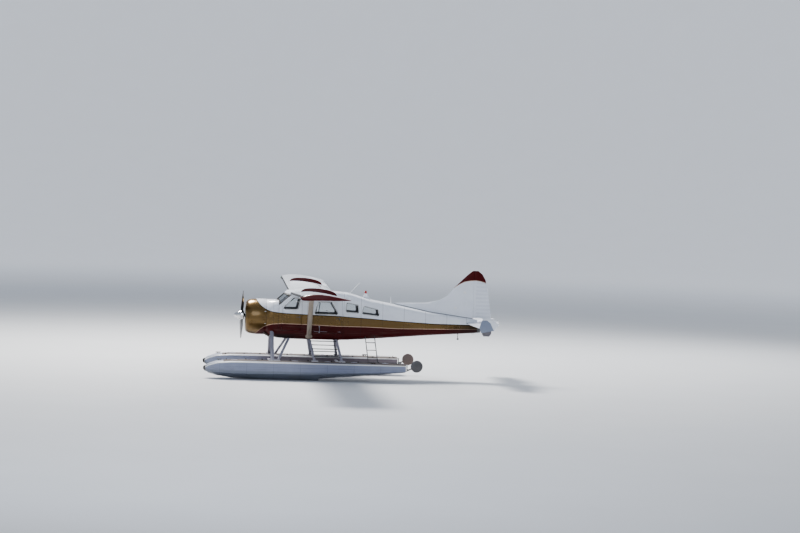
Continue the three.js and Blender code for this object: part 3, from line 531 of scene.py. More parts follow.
class Paint:
    """One material and the nodes that make it."""

    def __init__(self, name, **shader):
        self.material = bpy.data.materials.new(name)
        self.material.use_nodes = True
        self.tree = self.material.node_tree
        self.shader = self.tree.nodes["Principled BSDF"]
        for key, value in shader.items():
            self.shader.inputs[key.replace("_", " ")].default_value = value
        self.place = Value(self, self.tree.nodes.new("ShaderNodeTexCoord").outputs["Object"])

    def node(self, kind, settings=None, *values, **named):
        """One node: its settings first, then its sockets in order or by name. Gives its first output."""
        made = self.tree.nodes.new("ShaderNode" + kind)
        for key, value in (settings or {}).items():
            setattr(made, key, value)
        sockets = [socket for socket in made.inputs if socket.enabled]
        pairs = list(zip(sockets, values))
        for key, value in named.items():
            pairs.append((next(s for s in sockets if s.name == key.replace("_", " ")), value))
        for socket, value in pairs:
            if isinstance(value, Value):
                self.tree.links.new(value.socket, socket)
            elif value is not None:
                socket.default_value = value
        return Value(self, next(socket for socket in made.outputs if socket.enabled))

    def axes(self):
        """The object's x, y and z as three values."""
        split = self.tree.nodes.new("ShaderNodeSeparateXYZ")
        self.tree.links.new(self.place.socket, split.inputs[0])
        return [Value(self, socket) for socket in split.outputs]

    def stations(self):
        """Lateral distance, station and height above the shaft as three values."""
        x, y, z = self.axes()
        return x, y + MIDDLE_S, z - SHAFT_Z

    def stretched(self, x, y, z):
        return self.node("VectorMath", {"operation": "MULTIPLY"}, self.place, (x, y, z))

    def noise(self, scale, detail=4.0, roughness=0.55, place=None, seed=0.0):
        """Cloudy values around a half."""
        where = self.place if place is None else place
        shift = self.node("VectorMath", {"operation": "ADD"}, where, (seed, seed * 1.7, seed * 0.6))
        return self.node("TexNoise", None, Vector=shift, Scale=scale, Detail=detail, Roughness=roughness)

    def mix(self, share, first, second):
        """Two colours mixed by a share."""
        return self.node("Mix", {"data_type": "RGBA"}, Factor=share, A=first, B=second)

    def layers(self, colour, *coats):
        """A colour with further ones laid over it, each as (share, colour)."""
        for share, coat in coats:
            colour = self.mix(share, colour, coat)
        return colour

    def clouded(self, cloud, colour, spread):
        """A colour a little darker and lighter from place to place."""
        dark = rgb(*(part * (1 - spread) for part in colour[:3]))
        light = rgb(*(part * (1 + spread) for part in colour[:3]))
        return self.mix(cloud, dark, light)

    def along(self, s, stations):
        """A value that changes along the aircraft, from its (s, value) stations."""
        first, last = stations[0][0], stations[-1][0]
        values = [value for _, value in stations]
        low, high = min(values), max(values)
        ramp = self.tree.nodes.new("ShaderNodeValToRGB")
        elements = ramp.color_ramp.elements
        while len(elements) < len(stations):
            elements.new(0.5)
        for element, (station, value) in zip(elements, stations):
            element.position = (station - first) / (last - first)
            share = (value - low) / (high - low)
            element.color = (share, share, share, 1)
        share = (s - first) / (last - first)
        self.tree.links.new(share.socket, ramp.inputs[0])
        return Value(self, ramp.outputs[0]) * (high - low) + low

    def rivets(self, along, across, pitch, size=0.0035):
        """Round heads on a line: 1 on a head. across is the distance from the line."""
        run = (along.math("MODULO", pitch) + pitch).math("MODULO", pitch) - pitch / 2
        return 1 - distance(run, across).edge(size * 0.55, size)

    def feed(self, **named):
        """Links values to the shader's own sockets."""
        for key, value in named.items():
            self.tree.links.new(value.socket, self.shader.inputs[key.replace("_", " ")])

    def bump(self, height, distance, strength=1.0):
        """Feeds the normal from a height in units of distance."""
        self.feed(Normal=self.node("Bump", None, Strength=strength, Distance=distance, Height=height))


def rgb(red, green, blue):
    return (red, green, blue, 1.0)


def union(masks):
    """The highest of several values."""
    found = masks[0]
    for mask in masks[1:]:
        found = found | mask
    return found


def distance(first, second):
    """How far a point lies from nought along two axes."""
    return (first * first + second * second).math("SQRT")


WHITE = rgb(0.76, 0.78, 0.82)
GOLD = rgb(0.165, 0.102, 0.036)
MAROON = rgb(0.062, 0.0008, 0.0012)
CAP_MAROON = rgb(0.078, 0.0010, 0.0015)
BLACK = rgb(0.012, 0.012, 0.013)
DARK_LINE = rgb(0.015, 0.008, 0.008)
PALE_LINE = rgb(0.62, 0.44, 0.33)
TRIM_GREY = rgb(0.20, 0.19, 0.18)
SOOT = rgb(0.018, 0.017, 0.016)
GRIME = rgb(0.17, 0.14, 0.11)
STERN_SHADE = rgb(0.015, 0.009, 0.008)
SEAM_BLACK = rgb(0.02, 0.02, 0.02)
BULKHEAD_GREEN = rgb(0.045, 0.05, 0.045)

# Stations (s, w) of the line between white and gold, and of the line between gold and maroon.
UPPER_LINE = [(0.36, 0.66), (0.45, 0.53), (0.58, 0.37), (0.735, 0.26), (0.88, 0.20), (1.03, 0.166),
              (1.3, 0.138), (2.17, 0.105), (3.17, 0.086), (4.27, 0.025), (5.15, -0.035), (6.5, -0.108),
              (8.2, -0.13)]
LOWER_LINE = [(0.36, -0.66), (0.46, -0.55), (0.58, -0.43), (0.70, -0.345), (0.82, -0.29), (0.965, -0.25),
              (1.3, -0.222), (2.14, -0.232), (3.17, -0.262), (4.27, -0.266), (5.27, -0.30), (6.2, -0.294),
              (8.2, -0.273)]

# The fuselage's section as (s, value): half width, top, bottom and the radii of its corners.
HALF_WIDTH = [(1.19, 0.612), (1.66, 0.626), (3.15, 0.626), (3.584, 0.603), (5.023, 0.462)]
CROWN = [(1.19, 0.90), (1.66, 0.912), (3.15, 0.888), (3.584, 0.857), (4.302, 0.66), (5.023, 0.54)]
BELLY = [(1.19, -0.715), (1.66, -0.735), (3.15, -0.738), (3.584, -0.722), (4.302, -0.676), (5.023, -0.62)]
HIGH_CORNER = [(3.15, 0.06), (3.584, 0.12), (4.302, 0.17), (5.023, 0.18)]
LOW_CORNER = [(3.15, 0.13), (3.584, 0.14), (4.302, 0.16), (5.023, 0.17)]

# The windscreen's outer plane: a place on the centre line, its sweep and its rise.
SCREEN_S = 1.41
SCREEN_W = 0.85
SCREEN_SWEEP = 0.467
SCREEN_RISE = 0.943

# Radius of the cowl's outer face, as (s, radius).
COWL_FACE = [(0.05, 0.40), (0.066, 0.478), (0.086, 0.518), (0.134, 0.556), (0.21, 0.586), (0.31, 0.603),
             (0.43, 0.61), (0.80, 0.61)]
COWL_W = -0.03
COWL_START_S = 0.075
COWL_END_S = 0.762
CABIN_START_S = 1.191
CABIN_END_S = 4.76

# The fuselage skin's seams: half their width, their stations and the height of the long one. Then the
# exhaust's soot, where the painted tailplane shadow on the stern starts, and the baggage door as (fore, aft,
# low, high).
SEAM = 0.0015
SKIN_STATIONS = [0.775, 1.01, 1.185, 2.16, 3.405, 4.0, 4.75, 5.5, 6.25, 7.0, 7.7]
SKIN_SEAM_W = -0.655
SOOT_START_S = 0.95
SOOT_END_S = 2.4
SOOT_TOP_W = -0.52
TAIL_SHADOW_S = 6.6
BAGGAGE_DOOR = (3.56, 4.02, -0.42, 0.10)


def behind_cowl_face(paint, x, s, w):
    """1 inside the engine's cowl and on the bulkhead behind the engine."""
    depth = paint.along(s, COWL_FACE) - distance(x, w - COWL_W)
    return depth.edge(0.006, 0.010) & (s < COWL_END_S) & (s > COWL_START_S)


def depth_within(paint, x, s, past, corner):
    """How far a point lies inside the fuselage's skin, from how far it is past the top or the bottom."""
    radius = paint.along(s, corner)
    out = (abs(x) - paint.along(s, HALF_WIDTH) + radius) | 0.0
    rise = (past + radius) | 0.0
    return radius - distance(out, rise)


def inside_cabin(paint, x, s, w):
    """1 on the inner faces of the cabin's panels."""
    under_top = depth_within(paint, x, s, w - paint.along(s, CROWN), HIGH_CORNER)
    over_belly = depth_within(paint, x, s, paint.along(s, BELLY) - w, LOW_CORNER)
    screen = SCREEN_W + (s - SCREEN_S - abs(x) * SCREEN_SWEEP) * SCREEN_RISE - w
    lengthwise = (s > CABIN_START_S) & (s < CABIN_END_S)
    return (under_top & over_belly).edge(0.026, 0.032) & screen.edge(0.045, 0.055) & lengthwise


def fuselage_paint():
    """White over gold over maroon, with two fine lines, seams, soot, a painted tailplane shadow on the stern,
    and the cabin's grey lining inside.
    """
    paint = Paint("livery_paint", Coat_Roughness=0.05, Specular_IOR_Level=0.22)
    x, y, z = paint.axes()
    s, w = y + MIDDLE_S, z - SHAFT_Z
    upper = w - paint.along(s, UPPER_LINE)
    lower = w - paint.along(s, LOWER_LINE)
    belly = lower.below()
    cloud = paint.noise(2.2, 5, 0.6)
    streak = paint.noise(6.0, 3, 0.5, paint.stretched(1, 0.15, 2.5), seed=4)
    flake = paint.noise(900.0, 1, 0.5)
    weave = paint.noise(420.0, 2, 0.7, seed=8)
    fore, aft, low, high = BAGGAGE_DOOR
    hatch = union([(s - station).line(0.002) for station in (fore, aft)]
                  + [(w - height).line(0.002) for height in (low, high)])
    hatch = hatch & (s > fore) & (s < aft) & (w > low) & (w < high) & (x > 0)
    seams = [(s - station).line(SEAM) for station in SKIN_STATIONS]
    groove = union([*seams, (w - SKIN_SEAM_W).line(SEAM), hatch])
    heads = union([paint.rivets(z, s - (station + side), 0.045)
                   for station in SKIN_STATIONS[1:] for side in (-0.022, 0.022)])
    grime = (streak.edge(0.50, 0.80) * 0.4) * (w + 0.15).edge(0.5, -0.6)
    behind_pipe = ((s - SOOT_START_S).edge(0.0, 0.25) & (SOOT_END_S - s).edge(0.0, 1.1)
                   & (SOOT_TOP_W - w).edge(0.0, 0.10))
    soot = behind_pipe * (0.45 + streak * 0.7)
    # Painted shadow of the tailplane: the gold and maroon grow darker towards the tail.
    tail_shadow = (s - TAIL_SHADOW_S).edge(0.0, 1.5) * upper.below()
    cabin = inside_cabin(paint, x, s, w)
    nose = behind_cowl_face(paint, x, s, w)
    outside = 1 - (cabin | nose)
    colour = paint.layers(
        paint.clouded(flake, GOLD, 0.22),
        (upper.above(), paint.clouded(cloud, WHITE, 0.05)),
        (belly, paint.clouded(cloud, MAROON, 0.2)),
        ((upper + 0.004).line(0.010), DARK_LINE),
        ((lower - 0.002).line(0.007), PALE_LINE),
        (grime, GRIME),
        (soot, SOOT),
        (tail_shadow * 0.75, STERN_SHADE),
        (groove * 0.8, SEAM_BLACK),
        (cabin, paint.clouded(weave, TRIM_GREY, 0.25)),
        (nose, paint.clouded(cloud, BULKHEAD_GREEN, 0.3)),
    )
    metallic = (upper.below() & lower.above() & outside) * 0.75
    rough = 0.22 + 0.12 * cloud + 0.2 * grime + 0.4 * (cabin | nose) + 0.3 * soot + 0.16 * belly
    paint.feed(Base_Color=colour, Metallic=metallic, Roughness=rough,
               Coat_Weight=outside * (0.45 - 0.40 * belly))
    paint.bump((heads * 0.5 - groove) * outside + weave * cabin * 0.4, 0.0015, 0.7)
    return paint.material


WING_NOSE_S = 1.55
BOOT_X = 0.75
SPAR_CHORDS = (0.18, 0.62, 1.12)
FENCE_X = 3.879

# Where the tip's colour begins, as (s, lateral distance), and the skin under the fence, as (s, w).
TIP_EDGE = [(1.54, 7.15), (1.62, 7.205), (1.80, 7.245), (2.20, 7.258), (2.80, 7.24), (3.05, 7.19),
            (3.15, 7.12)]
FENCE_FOOT = [(1.70, 1.031), (1.80, 1.049), (2.00, 1.060), (2.20, 1.050), (2.50, 1.014), (2.80, 0.960),
              (2.95, 0.926)]


def wing_paint():
    """White skin, maroon tip faces and fences, black leading edges and rows of rivets."""
    paint = Paint("wing_paint", Coat_Roughness=0.04, Specular_IOR_Level=0.22)
    x, s, w = paint.stations()
    out = abs(x)
    chord = s - WING_NOSE_S
    cloud = paint.noise(1.6, 5, 0.6)
    tip = (out - paint.along(s, TIP_EDGE)).above(0.002)
    fence = (out - FENCE_X).line(0.014) & (w - paint.along(s, FENCE_FOOT)).edge(0.0, 0.003)
    maroon = tip | fence
    boot = chord.edge(0.038, 0.034) & (out - BOOT_X).above(0.002)
    dirt = paint.noise(9.0, 4, 0.6, paint.stretched(1.4, 0.25, 1), seed=2).edge(0.55, 0.8) * 0.22
    ribs = paint.rivets(chord, out.wrap(0.62) - 0.004, 0.04)
    spars = union([paint.rivets(out, chord - behind, 0.04) for behind in SPAR_CHORDS])
    joint = out.wrap(1.24).line(SEAM)
    colour = paint.layers(
        paint.clouded(cloud, WHITE, 0.05),
        (dirt, rgb(0.38, 0.36, 0.32)),
        (maroon, paint.clouded(cloud, CAP_MAROON, 0.2)),
        (boot, BLACK),
        (joint * 0.6, rgb(0.08, 0.08, 0.08)),
    )
    paint.feed(Base_Color=colour, Roughness=0.16 + 0.12 * cloud + 0.3 * boot + 0.15 * maroon,
               Coat_Weight=0.85 - 0.75 * (boot | maroon))
    paint.bump((ribs | spars) * 0.5 - joint, 0.0012, 0.6)
    return paint.material


CAP_LINE = [(7.18, 1.10), (7.25, 1.152), (7.42, 1.270), (7.60, 1.365), (7.78, 1.402), (7.98, 1.418),
            (8.15, 1.400), (8.30, 1.355), (8.5, 1.27)]
FIN_FOOT = [(5.15, 0.55), (6.4, 0.29), (7.9, 0.10), (8.7, 0.06)]
FIN_END_S = 7.93
RUDDER_SHADOW_S = 7.98
RUDDER_SHADOW_W = -0.10
RUDDER_RIBS_S = 8.02
RUDDER_RIBS_W = 1.38


def tail_paint():
    """White fin and ribbed rudder with a maroon cap over a curved line, painted shade between the rudder's
    ribs and a painted tailplane shadow on the rudder's lower part.
    """
    paint = Paint("tail_paint", Coat_Roughness=0.06, Specular_IOR_Level=0.22)
    y, z = paint.axes()[1:]
    s, w = y + MIDDLE_S, z - SHAFT_Z
    cap = w - paint.along(s, CAP_LINE)
    crown = cap.above()
    cloud = paint.noise(2.4, 5, 0.6, seed=3)
    ribbed = (s > RUDDER_RIBS_S) & (w < RUDDER_RIBS_W)
    rib = (z.wrap(0.13) - 0.03).above(0.03)
    # The rudder's lower part under the tailplane, darkened as painted shadow.
    low = (s > RUDDER_SHADOW_S) & (w - RUDDER_SHADOW_W).below(0.004)
    foot = (w - paint.along(s, FIN_FOOT)).line(0.010) & (s < FIN_END_S)
    heads = paint.rivets(z, y.wrap(0.36) - 0.004, 0.04) | paint.rivets(y, z.wrap(0.5) - 0.004, 0.04)
    colour = paint.layers(
        paint.clouded(cloud, WHITE, 0.05),
        (crown, paint.clouded(cloud, CAP_MAROON, 0.2)),
        (cap.line(0.009), rgb(0.55, 0.40, 0.31)),
        # Painted shade: a blue-grey tint in the troughs between the rudder's ribs.
        (ribbed * (1 - rib) * 0.16, rgb(0.30, 0.33, 0.40)),
        # Painted shadow of the tailplane on the rudder's lower part.
        (low * 0.85, rgb(0.10, 0.085, 0.10)),
        (foot * 0.75, rgb(0.03, 0.03, 0.035)),
    )
    paint.feed(Base_Color=colour, Roughness=0.22 + 0.14 * cloud + 0.15 * crown,
               Coat_Weight=0.45 - 0.4 * (low | crown))
    paint.bump(heads * 0.3 + rib * ribbed * 2.5, 0.0016, 0.7)
    return paint.material


TAILPLANE_NOSE_S = 7.73
ELEVATOR_S = 8.20
FINLET_X = 2.386
FINLET_LINE = [(7.8, 0.30), (8.05, 0.22), (8.20, 0.10), (8.30, -0.10), (8.42, -0.30)]


def tailplane_paint():
    """White tailplane with a black leading edge; its finlets are blue-grey ahead of a curved line."""
    paint = Paint("tailplane_paint", Roughness=0.27, Coat_Roughness=0.08)
    x, y, z = paint.axes()
    s, w = y + MIDDLE_S, z - SHAFT_Z
    out = abs(x)
    cloud = paint.noise(2.4, 5, 0.6, seed=7)
    finlet = (out - FINLET_X).above()
    ahead = (w - paint.along(s, FINLET_LINE)).below(0.004)
    nose = (s - TAILPLANE_NOSE_S).below(0.003)
    heads = paint.rivets(y, out.wrap(0.4) - 0.004, 0.04)
    rib = (out.wrap(0.15) - 0.035).above(0.03) & (s > ELEVATOR_S)
    colour = paint.layers(
        paint.clouded(cloud, WHITE, 0.05),
        (finlet & ahead, rgb(0.22, 0.255, 0.335)),
        (nose & (1 - finlet), BLACK),
    )
    paint.feed(Base_Color=colour, Roughness=0.22 + 0.14 * cloud, Coat_Weight=0.35 + 0.1 * cloud)
    paint.bump(heads * 0.4 + rib * 1.6, 0.0014, 0.6)
    return paint.material


# The float's gunwale and the middle of its deck, as (s, w), and its half beam, as (s, half).
GUNWALE = [(-1.25, -1.668), (-1.16, -1.60), (-0.87, -1.50), (-0.40, -1.458), (0.4, -1.450),
           (2.55, -1.452), (4.3, -1.456), (5.48, -1.458)]
DECK = [(-1.25, -1.628), (-1.16, -1.56), (-0.87, -1.462), (-0.40, -1.418), (0.4, -1.412),
        (2.55, -1.414), (4.3, -1.42), (5.48, -1.426)]
BEAM = [(-1.25, 0.10), (-1.16, 0.19), (-0.87, 0.325), (-0.40, 0.395), (0.4, 0.42), (2.55, 0.42),
        (4.3, 0.388), (5.48, 0.31)]

# Where the right float's painted shade and reflection of grass begin, the non-skid walkway, the long seam,
# and heights above the floor.
SHADE_AND_REFLECTION_S = 0.2
WALK_START_S = -0.66
WALK_HALF = 0.345
FLOAT_SEAM_W = -1.62
KEEL_Z = 0.30
CHINE_Z = 0.235


def float_paint():
    """Blue-grey sides, a painted white highlight under the gunwales, painted shade and grass reflection on
    the right float, a brown non-skid deck, black cleats and a scuffed keel.
    """
    paint = Paint("float_paint", Roughness=0.38, Coat_Weight=0.15, Coat_Roughness=0.2)
    x, y, z = paint.axes()
    s, w = y + MIDDLE_S, z - SHAFT_Z
    beam = abs(abs(x) - FLOAT_X)
    cloud = paint.noise(2.6, 6, 0.62, seed=5)
    grain = paint.noise(260.0, 2, 0.7)
    # Painted shade and reflection of grass on the right float, growing aft.
    shade_and_reflection = (x < 0) * (s - SHADE_AND_REFLECTION_S).edge(-0.8, 1.6)
    stain = paint.noise(7.0, 5, 0.65, paint.stretched(1, 0.2, 3), seed=9).edge(0.5, 0.75)
    scuff = paint.noise(30.0, 6, 0.7, paint.stretched(1, 0.12, 1.5), seed=3).edge(0.58, 0.70)
    over_rail = w - paint.along(s, GUNWALE)
    deck = over_rail.above()
    walk = deck & (beam < WALK_HALF) & (s > WALK_START_S)
    cleats = w - paint.along(s, DECK) > 0.008
    ends = y.wrap(0.9).line(0.002) | (w - FLOAT_SEAM_W).line(0.001)
    heads = (paint.rivets(z, y.wrap(0.45) - 0.004, 0.035) | paint.rivets(y, over_rail + 0.035, 0.035)
             | paint.rivets(y, z - CHINE_Z, 0.035))
    colour = paint.layers(
        paint.clouded(cloud, rgb(0.25, 0.275, 0.37), 0.16),
        (shade_and_reflection * 0.75, paint.clouded(cloud, rgb(0.17, 0.125, 0.125), 0.2)),
        ((z - KEEL_Z).below(0.02) * 0.6, rgb(0.17, 0.19, 0.215)),
        (stain * (0.75 - z).edge(-0.1, 0.6) * 0.5, rgb(0.14, 0.13, 0.10)),
        (scuff * (KEEL_Z - z).edge(-0.02, 0.2), rgb(0.32, 0.33, 0.34)),
        (deck, paint.clouded(cloud, rgb(0.34, 0.36, 0.42), 0.1)),
        (walk, paint.clouded(grain, rgb(0.125, 0.105, 0.095), 0.35)),
        # Painted highlight: a white band just under each gunwale.
        ((over_rail + 0.011).line(0.010, 0.002), rgb(0.80, 0.80, 0.80)),
        (ends * (1 - deck) * 0.6, rgb(0.07, 0.07, 0.08)),
        (cleats, rgb(0.012, 0.012, 0.012)),
    )
    paint.feed(Base_Color=colour, Roughness=0.32 + 0.2 * cloud + 0.35 * walk)
    paint.bump(heads * 0.5 - ends * 0.6 + grain * walk * 0.8, 0.0014, 0.7)
    return paint.material


def plain_paint(name, colour, roughness=0.35, metallic=0.0, spread=0.14, grain=60.0, bump=0.0003, coat=0.15):
    """A painted or bare metal with gentle clouding, worn spots and fine texture."""
    paint = Paint(name, Coat_Weight=coat, Coat_Roughness=0.15, Metallic=metallic)
    cloud = paint.noise(5.0, 5, 0.6)
    fine = paint.noise(grain, 3, 0.6, seed=1)
    wear = paint.noise(22.0, 6, 0.7, seed=6).edge(0.62, 0.74)
    worn = rgb(*(part * 0.45 for part in colour[:3]))
    paint.feed(Base_Color=paint.mix(wear * 0.35, paint.clouded(cloud, colour, spread), worn),
               Roughness=roughness - 0.08 + 0.16 * fine + 0.1 * wear)
    paint.bump(fine, bump, 0.6)
    return paint.material


HUB_RADIUS = 0.166


def propeller_finish():
    """Black blades with worn tips, and a polished spinner and hub."""
    paint = Paint("propeller_finish", Coat_Weight=0.3, Coat_Roughness=0.1)
    x, s, w = paint.stations()
    radius = distance(x, w)
    metal = radius.edge(HUB_RADIUS + 0.004, HUB_RADIUS)
    fine = paint.noise(80.0, 3, 0.6)
    nick = paint.noise(30.0, 5, 0.7, seed=2).edge(0.66, 0.75) * radius.edge(0.5, 1.2)
    colour = paint.layers(
        BLACK,
        (s.below(0.004) * 0.5, rgb(0.035, 0.035, 0.037)),
        (nick, rgb(0.30, 0.30, 0.30)),
        (metal, rgb(0.72, 0.72, 0.71)),
    )
    paint.feed(Base_Color=colour, Metallic=metal, Roughness=(0.33 + 0.1 * fine) * (1 - metal) + metal * 0.13)
    paint.bump((radius.wrap(0.006) - 0.0015) * metal * 40 + fine * 0.2, 0.0004, 0.4)
    return paint.material


BEACON_LENS_W = 0.862


def beacon_finish():
    """A white fairing under a red lens."""
    paint = Paint("beacon_finish", Coat_Weight=0.6, Coat_Roughness=0.05)
    w = paint.stations()[2]
    lens = (w - BEACON_LENS_W).above()
    cloud = paint.noise(6.0, 4, 0.6)
    flutes = paint.noise(1.0, 0, 0.5, paint.stretched(140, 140, 4))
    red = paint.clouded(flutes, rgb(0.30, 0.012, 0.012), 0.3)
    paint.feed(Base_Color=paint.mix(lens, paint.clouded(cloud, WHITE, 0.05), red),
               Roughness=0.28 - 0.16 * lens + 0.08 * cloud)
    paint.bump(flutes * lens, 0.001, 0.5)
    return paint.material


def window_glass():
    paint = Paint("window_glass", Transmission_Weight=1.0, Roughness=0.02, IOR=1.45)
    smear = paint.noise(14.0, 4, 0.6).edge(0.45, 0.9)
    paint.feed(Base_Color=paint.mix(smear * 0.2, rgb(0.96, 0.98, 0.985), rgb(0.84, 0.88, 0.90)),
               Roughness=0.01 + 0.06 * smear)
    return paint.material


def leather():
    paint = Paint("seat_leather", Roughness=0.55)
    cloud = paint.noise(9.0, 4, 0.6)
    cells = paint.node("TexVoronoi", {"feature": "DISTANCE_TO_EDGE"}, Vector=paint.place, Scale=320.0)
    worn = paint.noise(5.0, 6, 0.7, seed=5).edge(0.55, 0.75)
    brown = paint.clouded(cloud, rgb(0.055, 0.044, 0.040), 0.3)
    paint.feed(Base_Color=paint.mix(worn * 0.3, brown, rgb(0.14, 0.12, 0.11)),
               Roughness=0.44 + 0.18 * cloud - 0.1 * worn)
    paint.bump(cells.edge(0.0, 0.12), 0.0006, 0.7)
    return paint.material


def webbing():
    """Woven belts."""
    paint = Paint("belt_webbing", Roughness=0.8)
    x, y, z = paint.axes()
    weave = (y + z).wrap(0.0036) * 400 + (x + z).wrap(0.0028) * 400
    cloud = paint.noise(12.0, 3, 0.6)
    paint.feed(Base_Color=paint.clouded(cloud, rgb(0.07, 0.07, 0.08), 0.3), Roughness=0.75 + 0.15 * cloud)
    paint.bump(weave, 0.0006, 0.8)
    return paint.material


def carpet():
    paint = Paint("cabin_carpet", Roughness=0.95)
    pile = paint.noise(700.0, 2, 0.8)
    cloud = paint.noise(6.0, 5, 0.6)
    paint.feed(Base_Color=paint.clouded(cloud, rgb(0.075, 0.07, 0.068), 0.35), Roughness=0.85 + 0.15 * pile)
    paint.bump(pile, 0.003, 0.9)
    return paint.material


LIVERY = fuselage_paint()
WING_PAINT = wing_paint()
TAIL_PAINT = tail_paint()
TAILPLANE_PAINT = tailplane_paint()
FLOAT_PAINT = float_paint()
PROPELLER_FINISH = propeller_finish()
BEACON_FINISH = beacon_finish()
GLASS = window_glass()
LEATHER = leather()
WEBBING = webbing()
CARPET = carpet()
STRUT_PAINT = plain_paint("strut_paint", rgb(0.30, 0.295, 0.345))
CREAM_PAINT = plain_paint("cream_paint", rgb(0.36, 0.305, 0.25))
WHITE_TRIM = plain_paint("white_trim", rgb(0.80, 0.80, 0.80), roughness=0.3, spread=0.05)
DARK_METAL = plain_paint("dark_metal", rgb(0.10, 0.10, 0.10), metallic=0.6)
TAN_METAL = plain_paint("tan_metal", rgb(0.19, 0.145, 0.13), metallic=0.3)
WATER_BLADE = plain_paint("water_blade", rgb(0.115, 0.110, 0.112), metallic=0.3, spread=0.3)
BARE_METAL = plain_paint("bare_metal", rgb(0.52, 0.52, 0.52), metallic=0.95, roughness=0.32)
EXHAUST_METAL = plain_paint("exhaust_metal", rgb(0.13, 0.105, 0.09), metallic=0.9, roughness=0.5, spread=0.35)
ENGINE_METAL = plain_paint("engine_metal", rgb(0.27, 0.27, 0.26), metallic=0.8, roughness=0.45)
CASE_GREY = plain_paint("case_grey", rgb(0.16, 0.17, 0.175), metallic=0.2, roughness=0.45)
RUBBER = plain_paint("black_rubber", rgb(0.018, 0.018, 0.018), roughness=0.62, coat=0.0)
PANEL_BLACK = plain_paint("panel_black", rgb(0.03, 0.03, 0.032), roughness=0.6, coat=0.0)
MARK_WHITE = plain_paint("mark_white", rgb(0.75, 0.75, 0.72), roughness=0.5, spread=0.03)
RED_LENS = plain_paint("red_lens", rgb(0.45, 0.02, 0.02), roughness=0.15, coat=0.8, bump=0.0001)
GREEN_LENS = plain_paint("green_lens", rgb(0.02, 0.35, 0.12), roughness=0.15, coat=0.8, bump=0.0001)

# Parts that keep their own shape, by material and record slot; an asterisk stands for left and right.
DRESSED = [
    (LIVERY, "gold_paint", "cowl_ring nose_panel tail_cone cabin_side_* door_front_* door_rear_*"),
    (LIVERY, "maroon_paint", "cabin_floor"),
    (LIVERY, "white_paint", "cabin_roof"),
    (PROPELLER_FINISH, "blade_black", "propeller"),
    (EXHAUST_METAL, "dark_metal", "exhaust_pipe"),
    (PANEL_BLACK, "panel_black", "windscreen_frame instrument_panel"),
    (BEACON_FINISH, "white_paint", "beacon"),
    (WHITE_TRIM, "white_paint", "aerial_whip aerial_mast"),
    (WING_PAINT, "white_paint", "wing_* flap_* aileron_*"),
    (TAIL_PAINT, "white_paint", "fin rudder"),
    (TAILPLANE_PAINT, "white_paint", "stabilizer elevator"),
    (FLOAT_PAINT, "float_paint", "float_*"),
    (STRUT_PAINT, "strut_paint", "rear_bulkhead spreader_bar_front spreader_bar_rear"),
    (STRUT_PAINT, "strut_paint", "front_strut_* ladder_strut_*"),
    (CREAM_PAINT, "strut_paint", "wing_strut_*"),
    (RUBBER, "rubber", "bow_bumper_*"),
    (DARK_METAL, "dark_metal", "aft_ladder rudder_post_*"),
    (WATER_BLADE, "dark_metal", "water_rudder_left"),
    (TAN_METAL, "dark_metal", "water_rudder_right"),
]
PANES = "windscreen_glass_* door_front_glass_* door_rear_glass_* window_third_* window_fourth_*"


def nodes_of(names):
    """The nodes that a line of names stands for."""
    found = []
    for name in names.split():
        found += [name.replace("*", side) for side in ("left", "right")] if "*" in name else [name]
    return found


def dressed(node, material, width=0.003, angle=32.0):
    """A smooth copy of a solid, its edges softened by a width, which stands for it."""
    piece = copied(NODES[node], f"{node}_skin")
    for key in list(piece.keys()):
        del piece[key]
    piece.parent = None
    edit_all(piece)
    bpy.ops.mesh.remove_doubles(threshold=0.00005)
    bpy.ops.mesh.dissolve_limited(angle_limit=math.radians(0.4))
    leave()
    if width:
        soften(piece, width, angle)
    else:
        smooth(piece, angle)
    finish(piece, material, BODY_OF[node])
    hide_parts(node)


for material, slot, names in DRESSED:
    for node in nodes_of(names):
        dressed(node, material)
for node in nodes_of(PANES):
    dressed(node, GLASS, width=0.0)


# Window frames, door furniture and the windscreen. Panes are outlines of (s, w) places.

FRONT_PANE = [(1.318, 0.282), (1.822, 0.284), (1.905, 0.640), (1.692, 0.650)]
REAR_PANE = [(2.410, 0.148), (3.214, 0.140), (2.968, 0.540), (2.545, 0.545)]
THIRD_PANE = [(3.480, 0.240), (3.915, 0.215), (3.885, 0.470), (3.500, 0.545)]
FOURTH_PANE = [(4.045, 0.188), (4.622, 0.128), (4.572, 0.330), (4.092, 0.440)]
PANE_RADIUS = 0.045
WALL = 0.042
LOCK_DROP = 0.07
GRIP_S = 2.58
GRIP_W = (-0.29, -0.485)
FRONT_DOOR = "door_front_left_body"
REAR_DOOR = "door_rear_left_body"

# The left windscreen pane: its lower middle corner, the ways along its sill and up it, and its edges.
SCREEN_CORNER = at(0, 1.119, 0.578)
SCREEN_ALONG = Vector((0.583, 0.107, -0.156)).normalized()
SCREEN_FACING = Vector((0.583, 0.107, -0.156)).cross(Vector((0, 0.232, 0.219))).normalized()
SCREEN_UP = SCREEN_FACING.cross(SCREEN_ALONG)
SCREEN_PANE = [(0.032, 0.040), (0.578, 0.034), (0.571, 0.444), (0.020, 0.306)]


def add_window(name, corners, body, width):
    """A rubber seal and a white lip outside, and a trim ring inside."""
    outline = rounded(corners, PANE_RADIUS)
    seal = draped(ring(f"{name}_seal", outline, 0.008, width, 0, 0.007, 0.002), BODY_SKIN)
    both_sides(seal, RUBBER, body)
    lip = draped(ring(f"{name}_lip", outline, 0.001, width + 0.009, 0, 0.003, 0.001), BODY_SKIN)
    both_sides(lip, WHITE_TRIM, body)
    inner = draped(ring(f"{name}_inner_trim", outline, 0.006, 0.028, 0, 0.005, 0.0015), BODY_SKIN)
    inner.data.transform(Matrix.Translation((-WALL - 0.005, 0, 0)))
    both_sides(inner, STRUT_PAINT, body)


